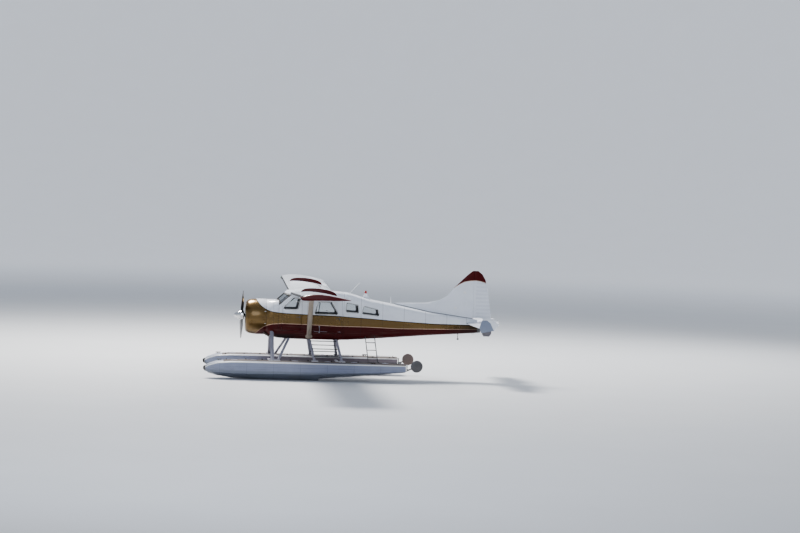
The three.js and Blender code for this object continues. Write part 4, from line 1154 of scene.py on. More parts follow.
def add_windows():
    add_window("front_door_window", FRONT_PANE, FRONT_DOOR, 0.026)
    add_window("rear_door_window", REAR_PANE, REAR_DOOR, 0.022)
    add_window("third_window", THIRD_PANE, AIRFRAME, 0.020)
    add_window("fourth_window", FOURTH_PANE, AIRFRAME, 0.020)
    slant = [(2.518, 0.150), (2.545, 0.150), (2.595, 0.530), (2.568, 0.530)]
    bar = draped(plate("sliding_pane_bar", slant, 0, 0.006, 0.0015), BODY_SKIN)
    both_sides(bar, RUBBER, REAR_DOOR)
    latch = box("pane_latch", at(0.602, 2.86, 0.19), at(0.614, 2.93, 0.205), 0.003)
    both_sides(latch, BARE_METAL, REAR_DOOR)


def on_screen(along, up, out=0.0):
    return SCREEN_CORNER + SCREEN_ALONG * along + SCREEN_UP * up + SCREEN_FACING * out


def add_windscreen():
    corners = [on_screen(*corner, out=0.002) for corner in SCREEN_PANE]
    bars = []
    for begin, end in zip(corners, corners[1:] + corners[:1]):
        reach = (end - begin).normalized() * 0.012
        bars.append(strip("bar", begin - reach, end + reach, 0.030, 0.008, SCREEN_FACING, 0.003))
    both_sides(joined("windscreen_seal", bars), RUBBER)
    post = strip("windscreen_post", on_screen(0, 0.02), on_screen(0, 0.315),
                 0.045, 0.012, (0, -1, 0.5), 0.004)
    finish(post, RUBBER)
    head = rod("screw", (0, 0, -0.001), (0, 0, 0.003), 0.005, 0.003, 10)
    places = stood([(on_screen(0.06 + 0.062 * i, 0.012, 0.001), SCREEN_FACING) for i in range(9)])
    both_sides(repeated("windscreen_screws", head, places), BARE_METAL)
    blade = strip("wiper_blade", on_screen(0.12, 0.075, 0.010), on_screen(0.42, 0.060, 0.010),
                  0.012, 0.010, SCREEN_FACING)
    arm = strip("wiper_arm", on_screen(0.27, -0.012, 0.016), on_screen(0.26, 0.070, 0.020),
                0.010, 0.006, SCREEN_FACING)
    hub = turned("wiper_hub", [(0.016, 0), (0.016, 0.014), (0.009, 0.020)],
                 on_screen(0.27, -0.012, 0.004), SCREEN_FACING)
    both_sides(joined("wiper", [blade, arm, hub]), RUBBER)


def add_handle(name, s, w, reach, body):
    """A door lever on its round plate, with a key lock under it."""
    x, outwards = BODY_SKIN.side(s, w), (1, 0, 0)
    rose = [(0.030, 0), (0.030, 0.003), (0.026, 0.006), (0.012, 0.007), (0.011, 0.026), (0.004, 0.028)]
    face = turned(f"{name}_plate", rose, at(x, s, w), outwards)
    pivot = at(x + 0.022, s + 0.012 * math.copysign(1, -reach), w)
    lever = strip(f"{name}_lever", pivot, at(x + 0.026, s + reach, w - 0.008),
                  0.020, 0.008, outwards, 0.0035)
    lock = turned(f"{name}_lock", [(0.013, 0), (0.013, 0.004), (0.010, 0.007), (0.003, 0.007)],
                  at(BODY_SKIN.side(s, w - LOCK_DROP), s, w - LOCK_DROP), outwards, 16)
    both_sides(joined(name, [face, lever, lock]), DARK_METAL, body)


def add_grip():
    """The grab bar on the rear door, on two round feet, and the strip along the door's foot."""
    x = BODY_SKIN.side(GRIP_S, -0.39)
    high, low = GRIP_W
    route = [at(x - 0.004, GRIP_S, high), at(x + 0.045, GRIP_S, high),
             at(x + 0.045, GRIP_S, low), at(x - 0.004, GRIP_S, low)]
    feet = [turned("grab_foot", [(0.024, 0), (0.022, 0.006), (0.012, 0.009)], at(x, GRIP_S, w), (1, 0, 0))
            for w in GRIP_W]
    grip = joined("rear_door_grip", [wire("grab_bar", bent(route, 0.022), 0.010), *feet])
    both_sides(grip, STRUT_PAINT, REAR_DOOR)
    outline = rounded([(2.40, -0.462), (3.31, -0.462), (3.31, -0.450), (2.40, -0.450)], 0.005, 2)
    moulding = draped(plate("kick_strip", outline, 0, 0.004), BODY_SKIN)
    both_sides(moulding, STRUT_PAINT, REAR_DOOR)


def add_door_lining(name, body, fore, aft, sill):
    """A door's inner panel and the pull above it."""
    corners = rounded([(fore, sill), (aft, sill), (aft, sill + 0.44), (fore, sill + 0.44)], 0.05)
    panel = draped(ring(f"{name}_inner_panel", corners, 0.020, 0.0, 0, 0.006, 0.002), BODY_SKIN)
    panel.data.transform(Matrix.Translation((-WALL - 0.006, 0, 0)))
    both_sides(panel, CARPET, body)
    route = [at(x, fore + reach, sill + 0.49)
             for x, reach in ((0.578, 0.10), (0.545, 0.11), (0.545, 0.27), (0.578, 0.28))]
    both_sides(wire(f"{name}_pull", bent(route, 0.02), 0.009), BARE_METAL, body)


def add_doors():
    add_handle("front_door_handle", 1.905, 0.02, -0.12, FRONT_DOOR)
    add_handle("rear_door_handle", 3.265, 0.0, -0.12, REAR_DOOR)
    add_grip()
    add_door_lining("front_door", FRONT_DOOR, 1.34, 1.93, -0.40)
    add_door_lining("rear_door", REAR_DOOR, 2.41, 3.30, -0.46)


# The engine: a case, nine finned cylinders with their drives, baffles and leads.

CYLINDERS = 9
CYLINDER_S = 0.43
SHAFT = at(0, CYLINDER_S, 0)


def round_shaft(count, first=0.0):
    """Turns about the propeller shaft, evenly spaced."""
    there, back = Matrix.Translation(SHAFT), Matrix.Translation(-SHAFT)
    return [there @ Matrix.Rotation(first, 4, "Y") @ turn @ back for turn in turns_about("Y", count)]


def on_shaft(x, y, z):
    """A place given from the middle of the upright cylinder's foot, on the propeller shaft."""
    return SHAFT + Vector((x, y, z))


def finned(foot, count, pitch, core, rim, thin):
    """A stack of cooling fins as (radius, height) pairs."""
    profile = []
    for i in range(count):
        low = foot + i * pitch
        profile += [(core, low), (rim, low + thin * 0.4), (rim, low + thin), (core, low + thin * 1.4)]
    return profile


def rocker_gear(side):
    """One valve's cover, the cover's bolts, and a push rod with a nut near each end."""
    tilt = Matrix.Translation(on_shaft(0.050 * side, 0, 0)) @ Matrix.Rotation(0.10 * side, 4, "Y")
    cover = box("rocker", (-0.022, -0.066, 0.466), (0.022, 0.062, 0.517), 0.011)
    inset(cover, Z_WAY, 0.005, 0.004).data.transform(tilt)
    bolts = joined("lid_bolts", [rod("lid_bolt", (0, y, 0.515), (0, y, 0.524), 0.005, sides=6)
                                 for y in (-0.05, 0.0, 0.046)])
    bolts.data.transform(Matrix.Translation((0, 0, -0.002)) @ tilt)
    low, high = on_shaft(0.032 * side, -0.115, 0.180), on_shaft(0.056 * side, -0.055, 0.478)
    nut = [(0.017, -0.012), (0.017, 0.010), (0.012, 0.014)]
    nuts = [turned("rod_nut", nut, low.lerp(high, share), high - low, 6) for share in (0.09, 0.93)]
    return smooth(cover), bolts, [rod("push_rod", low, high, 0.0105), *nuts]


def add_cylinders():
    barrel = [(0.089, 0.218), (0.089, 0.232), (0.066, 0.236)]
    barrel += finned(0.240, 13, 0.0115, 0.066, 0.080, 0.0035)
    barrel += finned(0.396, 7, 0.0125, 0.070, 0.094, 0.0045)
    barrel += [(0.080, 0.490), (0.066, 0.506), (0.030, 0.514), (0.004, 0.515)]
    body = turned("cylinder", barrel, SHAFT, (0, 0, 1), 20)
    right_cover, right_bolts, right_rods = rocker_gear(-1)
    left_cover, left_bolts, left_rods = rocker_gear(1)
    studs = repeated("stud", rod("stud", (0.079, 0, 0.230), (0.079, 0, 0.243), 0.006, sides=6),
                     [Matrix.Translation(SHAFT) @ turn for turn in turns_about("Z", 10)])
    plug = rod("plug", on_shaft(0, -0.086, 0.452), on_shaft(0, -0.118, 0.462), 0.010, 0.008, 8)
    lead = wire("lead", bent([on_shaft(0, -0.116, 0.461), on_shaft(0, -0.150, 0.46),
                              on_shaft(0.018, -0.160, 0.34), on_shaft(0.02, -0.150, 0.262)], 0.03),
                0.0048, sides=6)
    intake = wire("intake", bent([on_shaft(0.06, 0.20, 0.20), on_shaft(0.062, 0.21, 0.34),
                                  on_shaft(0.058, 0.07, 0.455)], 0.08, 6), 0.023, sides=12)
    shared = {
        "engine_cylinders": ([body, studs, right_bolts, left_bolts], ENGINE_METAL),
        "engine_rockers": ([right_cover, left_cover], CASE_GREY),
        "engine_push_rods": ([*right_rods, *left_rods], DARK_METAL),
        "engine_plugs": ([plug], BARE_METAL),
        "engine_leads": ([lead], CREAM_PAINT),
        "engine_intakes": ([intake], CASE_GREY),
    }
    turns = round_shaft(CYLINDERS)
    for name, (pieces, material) in shared.items():
        finish(repeated(name, joined(f"{name}_first", pieces), turns), material)


def add_engine():
    case = turned("engine_case", [
        (0.050, 0.066), (0.058, 0.072), (0.066, 0.112), (0.094, 0.124), (0.098, 0.140), (0.112, 0.146),
        (0.150, 0.176), (0.168, 0.205), (0.184, 0.246), (0.186, 0.262), (0.214, 0.268), (0.214, 0.286),
        (0.205, 0.292), (0.212, 0.330), (0.222, 0.350), (0.226, 0.430), (0.226, 0.540), (0.300, 0.575),
        (0.310, 0.640), (0.280, 0.700), (0.280, 0.757), (0.010, 0.757),
    ], at(0, 0, 0), (0, 1, 0), 45)
    finish(case, CASE_GREY)
    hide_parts("engine")
    add_cylinders()
    bolt = rod("case_bolt", at(0.200, 0.258, 0), at(0.200, 0.270, 0), 0.006, sides=6)
    nose_bolt = rod("nose_bolt", at(0.104, 0.136, 0), at(0.104, 0.148, 0), 0.005, sides=6)
    bolts = joined("engine_bolts", [repeated("ring_bolts", bolt, round_shaft(27)),
                                    repeated("nose_bolts", nose_bolt, round_shaft(12))])
    finish(bolts, BARE_METAL)
    hoop = circle(at(0, 0.277, 0), (0.236, 0, 0), (0, 0, 0.236), 54)
    finish(wire("harness", hoop, 0.013, closed=True, sides=10), BARE_METAL)
    wedge = ((-0.016, 0.250), (0.016, 0.250), (-0.082, 0.525), (0.082, 0.525))
    baffle = shaped(start("plane", "baffle", size=1), [on_shaft(x, 0.045, z) for x, z in wedge])
    change(baffle, "SOLIDIFY", thickness=0.0025)
    between = round_shaft(CYLINDERS, math.pi / CYLINDERS)
    finish(repeated("engine_baffles", baffle, between), DARK_METAL)
    governor = turned("governor", [(0.034, 0), (0.034, 0.030), (0.026, 0.036), (0.026, 0.070), (0.030, 0.074),
                                   (0.030, 0.092), (0.012, 0.098)], at(0, 0.200, 0.150), (0, -0.35, 1), 20)
    sump = box("oil_sump", at(-0.045, 0.250, -0.300), at(0.045, 0.330, -0.190), 0.012)
    finish(joined("governor_and_sump", [governor, sump]), CASE_GREY)
    hoop = circle(at(0, 0.585, COWL_W), (0.470, 0, 0), (0, 0, 0.470), 48)
    finish(wire("exhaust_ring", hoop, 0.032, closed=True, sides=12), EXHAUST_METAL)


def round_cowl(s, reach, angles):
    """Takes a pattern out from the cowl's axis by a reach, then round it by each angle."""
    return [Matrix.Translation(at(0, s, COWL_W)) @ Matrix.Rotation(math.radians(angle), 4, "Y")
            @ Matrix.Translation(reach) for angle in angles]


def add_nose():
    """Cowl latches, cooling gills and the exhaust's collar."""
    latch = joined("latch", [box("latch_plate", (-0.002, -0.030, -0.011), (0.003, 0.030, 0.011), 0.002),
                             rod("latch_pin", (0.002, -0.012, 0), (0.007, -0.012, 0), 0.006, sides=10)])
    places = round_cowl(0.735, (0.6085, 0, 0), (-20, -75, -105, -160, -200, -245, -295, -340))
    finish(repeated("cowl_latches", latch, places), BARE_METAL)
    gill = box("gill", (-0.052, -0.004, -0.0015), (0.052, 0.055, 0.0015), 0.001)
    gill.data.transform(Matrix.Rotation(0.16, 4, "X"))
    places = round_cowl(0.80, (0, 0, 0.606), (100, 111, 122, 238, 249, 260))
    finish(repeated("cowl_gills", gill, places), LIVERY)
    band = [(0.052, -0.012), (0.056, 0.0), (0.052, 0.012), (0.046, 0.012), (0.046, -0.012), (0.052, -0.012)]
    collar = turned("exhaust_collar", band, at(0.27, 0.905, -0.6715), (0, 0.27, -0.14), 28)
    finish(collar, BARE_METAL)


add_windows()
add_windscreen()
add_doors()
add_engine()
add_nose()


# The cabin: gauges, radios, levers, wheels, pedals, floor covering and seats.

BOARD_S = 1.300
GAUGE_X = (-0.44, -0.34, -0.24, 0.24, 0.34, 0.44)
LEVER_X = (-0.045, 0, 0.045)


def add_gauges():
    """Two rows of round gauges, each a bezel with its marks and needle."""
    places = shifts([at(x, BOARD_S, w) for x in GAUGE_X for w in (0.197, 0.302)])
    bezel = turned("bezel", [(0.042, -0.002), (0.045, 0.004), (0.041, 0.009), (0.036, 0.010),
                             (0.0355, 0.005), (0.004, 0.0045)], toward=(0, 1, 0))
    finish(repeated("gauge_bezels", bezel, places), DARK_METAL)
    tick = box("tick", (-0.0011, 0.004, 0.025), (0.0011, 0.0058, 0.033))
    needle = strip("needle", (-0.006, 0.006, -0.007), (0.017, 0.006, 0.019), 0.003, 0.0015, (0, 1, 0), 0.0005)
    cap = rod("needle_cap", (0, 0.004, 0), (0, 0.0085, 0), 0.0045, sides=10)
    marks = joined("marks", [repeated("ticks", tick, turns_about("Y", 12)), needle, cap])
    finish(repeated("gauge_marks", marks, places), MARK_WHITE)


def add_panel():
    """The gauges, a stack of radios and three knobbed levers."""
    add_gauges()
    radio = inset(box("radio", (-0.088, -0.002, -0.031), (0.088, 0.010, 0.031), 0.003), Y_WAY, 0.006, -0.003)
    knob = turned("knob", [(0.011, 0), (0.011, 0.012), (0.008, 0.016), (0.002, 0.0165)],
                  toward=(0, 1, 0), sides=14)
    knobs = repeated("radio_knobs", knob, shifts([(x, 0.006, -0.012) for x in (-0.068, 0.068)]))
    screen = box("radio_screen", (-0.048, 0.006, 0.002), (0.048, 0.009, 0.020), 0.001)
    stack = shifts([at(0, BOARD_S, w) for w in (0.185, 0.252, 0.319)])
    finish(repeated("radios", joined("radio_set", [radio, knobs]), stack), PANEL_BLACK)
    finish(repeated("radio_screens", screen, stack), MARK_WHITE)
    quadrant = box("lever_quadrant", at(-0.075, 1.286, 0.372), at(0.075, 1.330, 0.404), 0.008)
    levers = [rod("lever", at(x, 1.308, 0.398), at(x, 1.345, 0.468), 0.0045) for x in LEVER_X]
    finish(joined("levers", [quadrant, *levers]), DARK_METAL)
    ball = turned("lever_knob", [(0.006, -0.018), (0.015, -0.010), (0.018, 0.0), (0.014, 0.012),
                                 (0.004, 0.018)], toward=(0, 0.47, 0.88), sides=16)
    places = shifts([at(x, 1.350, 0.478) for x in LEVER_X])
    finish(repeated("lever_knobs", ball, places), RUBBER)


def add_controls():
    """Two control wheels on their arm, the column's boot, four pedals and the floor covering."""
    hub = at(SEAT_X, 1.453, 0.089)
    rim = wire("wheel_rim", arc(hub, (0.145, 0, 0), (0, 0, 0.125), 140, 400, 26), 0.0125, sides=12)
    spokes = strip("wheel_spoke", hub - Vector((0.142, 0, 0.02)), hub + Vector((0.142, 0, -0.02)),
                   0.030, 0.014, (0, 1, 0), 0.004)
    boss = turned("wheel_boss", [(0.042, -0.018), (0.042, 0.010), (0.034, 0.018), (0.010, 0.019)],
                  hub, (0, 1, 0))
    both_sides(joined("control_wheel", [rim, spokes, boss]), PANEL_BLACK)
    arm = box("wheel_arm", at(0.0, 1.440, 0.074), at(SEAT_X, 1.466, 0.104), 0.006)
    finish(arm, DARK_METAL)
    folds = [(0.085, -0.008), (0.080, 0.004), (0.062, 0.012), (0.060, 0.020), (0.046, 0.028), (0.044, 0.038),
             (0.032, 0.050)]
    finish(turned("column_boot", folds, at(0, 1.332, -0.595), (0, 0.16, 1), 28), RUBBER)
    for i, x in enumerate((0.20, 0.36)):
        face = box("pedal_face", at(x - 0.045, 1.255, -0.47), at(x + 0.045, 1.270, -0.375), 0.005)
        bars = [strip("pedal_bar", at(x - 0.04, 1.272, w), at(x + 0.04, 1.272, w), 0.008, 0.006, (0, 1, 0))
                for w in (-0.455, -0.435, -0.415, -0.395)]
        legs = [rod("pedal_leg", at(x + side, 1.262, -0.595), at(x + side, 1.262, -0.43), 0.008)
                for side in (-0.03, 0.03)]
        both_sides(joined(f"pedal_{i}", [face, *bars, *legs]), BARE_METAL)
    covering = box("cabin_carpet", at(-0.552, 1.24, -0.602), at(0.552, 3.38, -0.592), 0.003)
    finish(covering, CARPET)
    sill = box("aft_step_rail", at(-0.45, 3.40, -0.600), at(0.45, 3.43, -0.585), 0.004)
    finish(sill, BARE_METAL)


# Padded seats. The pad is blown up as cloth, then its seams and channels are pressed in.

PAD_VOXEL = 0.009
PAD_FRAMES = 20
PAD_CAP = 0.022
CHANNEL = 0.006

# Where a front seat and its rails stand, and how a seat is moved and widened into half of the bench.
SEAT_X = 0.30
SEAT_RAIL_X = (0.125, 0.475)
BENCH_X = 0.28
BENCH_BEHIND = 1.035
BENCH_WIDENING = 0.56 / 0.48


def swollen(piece):
    """Blows a closed pad up like a cushion, with each point's way limited."""
    change(piece, "REMESH", mode="VOXEL", voxel_size=PAD_VOXEL, use_smooth_shade=True)
    before = [vertex.co.copy() for vertex in piece.data.vertices]
    scene = bpy.context.scene
    pick(piece)
    bpy.ops.object.modifier_add(type="CLOTH")
    cloth = piece.modifiers[-1]
    cloth.settings.use_pressure = True
    cloth.settings.uniform_pressure_force = 4.0
    cloth.settings.effector_weights.gravity = 0.0
    cloth.point_cache.frame_start = 1
    cloth.point_cache.frame_end = PAD_FRAMES
    for step in range(1, PAD_FRAMES + 1):
        scene.frame_set(step)
    bpy.ops.object.modifier_apply(modifier=cloth.name)
    scene.frame_set(1)
    for vertex, place in zip(piece.data.vertices, before):
        way = vertex.co - place
        if way.length > PAD_CAP:
            vertex.co = place + way.normalized() * PAD_CAP
    return piece


def pressed(piece, facing, lines, depth=0.009):
    """Sinks sewn channels into the face that looks one way; lines are places across the pad."""
    facing = Vector(facing)
    for vertex in piece.data.vertices:
        front = max(0.0, vertex.normal.dot(facing))
        sunk = max(math.exp(-(((vertex.co.x - line) / CHANNEL) ** 2)) for line in lines)
        vertex.co -= facing * depth * sunk * front
    return piece


def piped(name, piece, height, axis):
    """A cord of piping sewn round a pad at one height along an axis."""
    centre = sum((Vector(corner) for corner in piece.bound_box), Vector()) / 8
    centre[axis] = height
    tree = tree_of(piece)
    up = Y_WAY if axis == 2 else Z_WAY
    points = []
    for way in circle((0, 0, 0), (1, 0, 0), up, 72):
        hit = tree.ray_cast(centre + way * 2, -way)[0]
        points.append(hit + way * 0.001)
    return wire(name, points, 0.0045, closed=True)


def ribbon(name, route, across, width, thin=0.002):
    """A flat strap through some places, its width along one direction."""
    half = Vector(across).normalized() * width / 2
    ends = [route[0] - half, route[0] + half, route[1] - half, route[1] + half]
    piece = shaped(start("plane", name, size=1), ends)
    edit(piece, lambda place, normal: min((place - end).length for end in ends[2:]) < 0.0001, "VERT")
    bpy.ops.mesh.select_mode(type="EDGE")
    for before, after in zip(route[1:], route[2:]):
        extrude(after - before)
    leave()
    change(piece, "SOLIDIFY", thickness=thin, offset=0.0)
    return outward(piece)


def on_pad(tree, place, way):
    """The place on a pad met from outside, and a little above it."""
    way = Vector(way)
    return tree.ray_cast(place - way * 0.5, way)[0] - way * 0.003


def seat_pads():
    """The cushion and the backrest, blown up, channelled and smoothed."""
    cushion = swollen(box("seat_cushion", at(0.078, 1.778, -0.278), at(0.522, 2.130, -0.208), 0.022, 3))
    back = swollen(box("seat_backrest", at(0.078, 2.158, -0.200), at(0.522, 2.222, 0.275), 0.022, 3))
    for vertex in cushion.data.vertices:
        vertex.co.z = max(vertex.co.z, SHAFT_Z - 0.291)
    lines = (0.155, 0.232, 0.300, 0.368, 0.445)
    pressed(cushion, (0, 0, 1), lines)
    pressed(back, (0, -1, 0), lines)
    for pad in (cushion, back):
        change(pad, "SUBSURF", levels=1, render_levels=1)
        smooth(pad, 60)
    return cushion, back


def seat_frame():
    """A pan on two bent legs with their rails, and the tube behind the backrest."""
    pan = box("seat_pan", at(0.085, 1.785, -0.306), at(0.515, 2.215, -0.290), 0.005)
    legs = [wire("seat_leg", bent([at(x, 1.80, -0.588), at(x, 1.80, -0.300), at(x, 2.19, -0.300),
                                   at(x, 2.19, -0.588)], 0.05), 0.011) for x in SEAT_RAIL_X]
    loop = wire("back_tube", bent([at(0.085, 2.225, -0.30), at(0.085, 2.236, 0.262), at(0.515, 2.236, 0.262),
                                   at(0.515, 2.225, -0.30)], 0.06), 0.011)
    rails = [box("seat_rail", at(x - 0.016, 1.74, -0.594), at(x + 0.016, 2.26, -0.582), 0.003)
             for x in SEAT_RAIL_X]
    return joined("seat_frame", [pan, *legs, loop, *rails])


def seat_belts(cushion, back):
    """A lap strap, two shoulder straps and the buckle."""
    seat, rest = tree_of(cushion), tree_of(back)
    lap = [on_pad(seat, at(0.10 + 0.04 * i, 2.03 - 0.10 * math.sin(math.pi * i / 10), -0.25), (0, 0, -1))
           for i in range(11)]
    lap = [at(0.062, 2.09, -0.27), *lap, at(0.538, 2.09, -0.27)]
    belts = [ribbon("lap_belt", lap, (0, 1, 0), 0.046)]
    for x in (0.20, 0.40):
        route = [on_pad(rest, at(x, 2.10, -0.14 + 0.045 * i), (0, 1, 0)) for i in range(9)]
        route += [at(x, 2.165, 0.285), at(x, 2.205, 0.305), at(x, 2.244, 0.270)]
        belts.append(ribbon("shoulder_belt", route, (1, 0, 0), 0.042))
    buckle = box("belt_buckle", (-0.034, -0.026, -0.002), (0.034, 0.026, 0.014), 0.005)
    inset(buckle, Z_WAY, 0.010, -0.003).data.transform(Matrix.Translation(lap[6] + Vector((0, 0, 0.002))))
    return joined("seat_belts", belts), buckle


def front_seat():
    """The left front seat: its parts with their materials and slots."""
    cushion, back = seat_pads()
    piping = [piped("cushion_piping", cushion, SHAFT_Z - 0.222, 2),
              piped("back_piping", back, 2.172 - MIDDLE_S, 1)]
    tubes = seat_frame()
    belts, buckle = seat_belts(cushion, back)
    return {
        "cushion": (cushion, LEATHER, "seat_leather"),
        "backrest": (back, LEATHER, "seat_leather"),
        "piping": (joined("seat_piping", piping), RUBBER, "rubber"),
        "frame": (tubes, STRUT_PAINT, "strut_paint"),
        "belts": (belts, WEBBING, "seat_leather"),
        "buckle": (buckle, BARE_METAL, "dark_metal"),
    }


def add_seats():
    """The left front seat, its copy on the right, and two wider copies behind as the bench."""
    first = front_seat()
    widened = Matrix.Diagonal((BENCH_WIDENING, 1, 1, 1)) @ Matrix.Translation((-SEAT_X, 0, 0))
    back_row = Matrix.Translation((BENCH_X, BENCH_BEHIND, 0)) @ widened
    seats = {"seat_right": [("seat_right", MIRROR)],
             "bench_seat": [("bench_left", back_row), ("bench_right", MIRROR @ back_row)],
             "seat_left": [("seat_left", None)]}
    for node, copies in seats.items():
        for name, matrix in copies:
            for part, (piece, material, slot) in first.items():
                made = piece if matrix is None else copied(piece, f"{name}_{part}", matrix)
                made.name = f"{name}_{part}"
                finish(made, material)
                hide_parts(node)
                part in ("cushion", "backrest")
    rest = box("headrest", at(0.20, 2.160, 0.315), at(0.40, 2.222, 0.405), 0.020, 3)
    change(rest, "SUBSURF", levels=1, render_levels=1)
    posts = [rod("headrest_post", at(x, 2.205, 0.23), at(x, 2.200, 0.34), 0.006) for x in (0.26, 0.34)]
    both_sides(smooth(rest, 60), LEATHER)
    both_sides(joined("headrest_posts", posts), BARE_METAL)


# Wings: lights, covers, hinge fairings, air data tube, tie rings and strut fittings.

COVER_PLACES = [(x, s) for x in (1.35, 2.55, 4.55, 5.85) for s in (1.92, 2.42)]
HINGE_X = [0.956, 3.584, 4.174, 6.632]
TAIL_HINGE_X = [0.43, 2.05]
TIP_LIGHT_S = 1.640


def cover_plate(radius):
    """A round cover with a ring of screws, lying on z."""
    disc = turned("cover", [(radius, -0.002), (radius, 0.002), (radius * 0.94, 0.0035), (radius * 0.3, 0.004),
                            (0.003, 0.004)], sides=28)
    screw = rod("cover_screw", (radius * 0.82, 0, 0.002), (radius * 0.82, 0, 0.0055), 0.0045, 0.003, 6)
    return joined("cover", [disc, repeated("screws", screw, turns_about("Z", 8))])


def add_wing_trim():
    """Covers and hinge fairings under each wing, and wicks on the ailerons."""
    places = stood([WING_SKIN.under(x, s) for x, s in COVER_PLACES])
    both_sides(repeated("wing_covers", cover_plate(0.065), places), WHITE_TRIM)
    fairing = turned("fairing", [(0.003, 0), (0.014, 0.02), (0.024, 0.08), (0.026, 0.13), (0.020, 0.21),
                                 (0.003, 0.27)], toward=(0, 1, 0), sides=16)
    places = shifts([WING_SKIN.under(x, 2.53)[0] + Vector((0, -0.135, 0.004)) for x in HINGE_X])
    both_sides(repeated("hinge_fairings", fairing, places), WHITE_TRIM)
    wick = joined("wick", [rod("wick_rod", (0, -0.01, 0), (0, 0.11, -0.006), 0.0025, 0.0012, 6),
                           rod("wick_base", (0, -0.02, 0.001), (0, 0.02, 0), 0.006, 0.004, 8)])
    places = shifts([WING_SKIN.top(x, 3.11)[0] for x in (4.3, 5.1, 5.9)])
    both_sides(repeated("aileron_wicks", wick, places), RUBBER, "aileron_left_body")


def add_tip_lights():
    """A dark fairing and a coloured lens at the front corner of each tip."""
    tip = (WING_SKIN.top(7.17, 1.66)[0] + WING_SKIN.under(7.17, 1.66)[0]) / 2
    fairing = [(0.004, -0.16), (0.040, -0.11), (0.062, -0.04), (0.066, 0.01), (0.058, 0.045), (0.036, 0.066),
               (0.028, 0.070)]
    dome = [(0.025, 0.062), (0.025, 0.074), (0.021, 0.086), (0.013, 0.094), (0.003, 0.097)]
    for name, side, material in (("left", 1, RED_LENS), ("right", -1, GREEN_LENS)):
        spot = Vector((tip.x * side, TIP_LIGHT_S - MIDDLE_S, tip.z))
        base = turned(f"tip_light_base_{name}", fairing, spot, (0, -1, 0), 24)
        finish(base, PANEL_BLACK)
        finish(turned(f"tip_light_{name}", dome, spot, (0, -1, 0), 20), material)


def add_air_tube():
    """The air data tube that looks ahead from under the left wing."""
    foot = WING_SKIN.under(5.20, 1.98)[0]
    knee, mouth = foot + Vector((0, -0.02, -0.11)), foot + Vector((0, -0.42, -0.11))
    tube = wire("air_tube", bent([foot + Vector((0, 0, 0.01)), knee, mouth], 0.05), 0.009, sides=10)
    nose = rod("air_tube_nose", mouth, mouth + Vector((0, -0.10, 0)), 0.009, 0.006)
    pad = turned("air_tube_foot", [(0.034, -0.002), (0.032, 0.004), (0.014, 0.014)], foot, (0, 0, -1), 20)
    finish(joined("air_tube", [tube, nose, pad]), BARE_METAL)


def add_strut_fittings():
    """Tie rings, and the shoes at both ends of the wing struts."""
    place = WING_SKIN.under(3.42, 2.13)[0]
    both_sides(eye("tie_ring", place + Vector((0, 0, -0.020)), 0.022, 0.005), BARE_METAL)
    place = WING_SKIN.under(3.20, 2.13)[0]
    head = block("strut_head", place, (-0.085, -0.105, -0.030), (0.085, 0.105, 0.008), 0.016, 3)
    both_sides(head, WHITE_TRIM)
    root = start("uv_sphere", "strut_root", segments=28, ring_count=14, radius=1)
    root.scale = (0.062, 0.125, 0.085)
    root.location = at(0.606, 2.232, -0.628)
    edit_all(settle(root))
    bpy.ops.mesh.bisect(plane_co=at(0.56, 0, 0), plane_no=(1, 0, 0), clear_inner=True, use_fill=True)
    leave()
    both_sides(smooth(root, 50), CREAM_PAINT)


def add_tail_end():
    """The tie ring, the dark end plate and the hanger under the tail, and the rudder's light."""
    place = BODY_SKIN.under(0.0, 7.95)[0]
    hook = eye("tail_ring", place + Vector((0, 0, -0.020)), 0.030, 0.006)
    bracket = block("tail_ring_foot", place, (-0.020, -0.045, -0.006), (0.020, 0.045, 0.010), 0.004)
    finish(joined("tail_tie", [hook, bracket]), BARE_METAL)
    outline = [(8.076, -0.388), (8.19, -0.376), (8.215, -0.30), (8.20, -0.195), (8.076, -0.168)]
    finish(plate("tail_end", outline, -0.072, 0.072, 0.012), DARK_METAL)
    place = BODY_SKIN.under(0.0, 7.43)[0]
    centre = place - Vector((0, 0, 0.185))
    loop = eye("hanger_ring", centre, 0.024, 0.012, 16)
    stem = rod("hanger_stem", place + Vector((0, 0, 0.010)), centre + Vector((0, 0, 0.020)), 0.011)
    foot = rod("hanger_foot", place + Vector((0, 0, 0.008)), place - Vector((0, 0, 0.008)), 0.022,
               sides=16, bevel=0.002)
    finish(joined("tail_hanger", [loop, stem, foot]), RUBBER)
    spot = at(0, 8.575, 0.16)
    base = turned("tail_light_base", [(0.020, -0.03), (0.022, 0.004), (0.019, 0.008)], spot, (0, 1, 0), 18)
    finish(base, WHITE_TRIM, "rudder_body")
    dome = [(0.017, 0.006), (0.017, 0.022), (0.012, 0.034), (0.003, 0.038)]
    finish(turned("tail_light", dome, spot, (0, 1, 0), 18), MARK_WHITE, "rudder_body")


def add_tail_covers():
    """Covers over the tailplane's hinges and on the fin."""
    bump = turned("tail_hinge_cover", [(0.003, 0), (0.010, 0.02), (0.016, 0.06), (0.014, 0.11),
                                       (0.003, 0.15)], toward=(0, 1, 0), sides=14)
    places = [TAILPLANE_SKIN.under(x, 8.0)[0] + Vector((0, -0.085, 0.002)) for x in TAIL_HINGE_X]
    places += [TAILPLANE_SKIN.top(x, 8.0)[0] + Vector((0, -0.085, -0.002)) for x in TAIL_HINGE_X]
    both_sides(repeated("tail_hinge_covers", bump, shifts(places)), WHITE_TRIM)
    places = stood([(at(FIN_SKIN.side(s, w), s, w), (1, 0, 0)) for s, w in ((7.30, 0.45), (7.62, 1.0))])
    both_sides(repeated("fin_covers", cover_plate(0.05), places), WHITE_TRIM)


# Floats: rails, hatches, cups, straps, rigging, treads and steering gear.

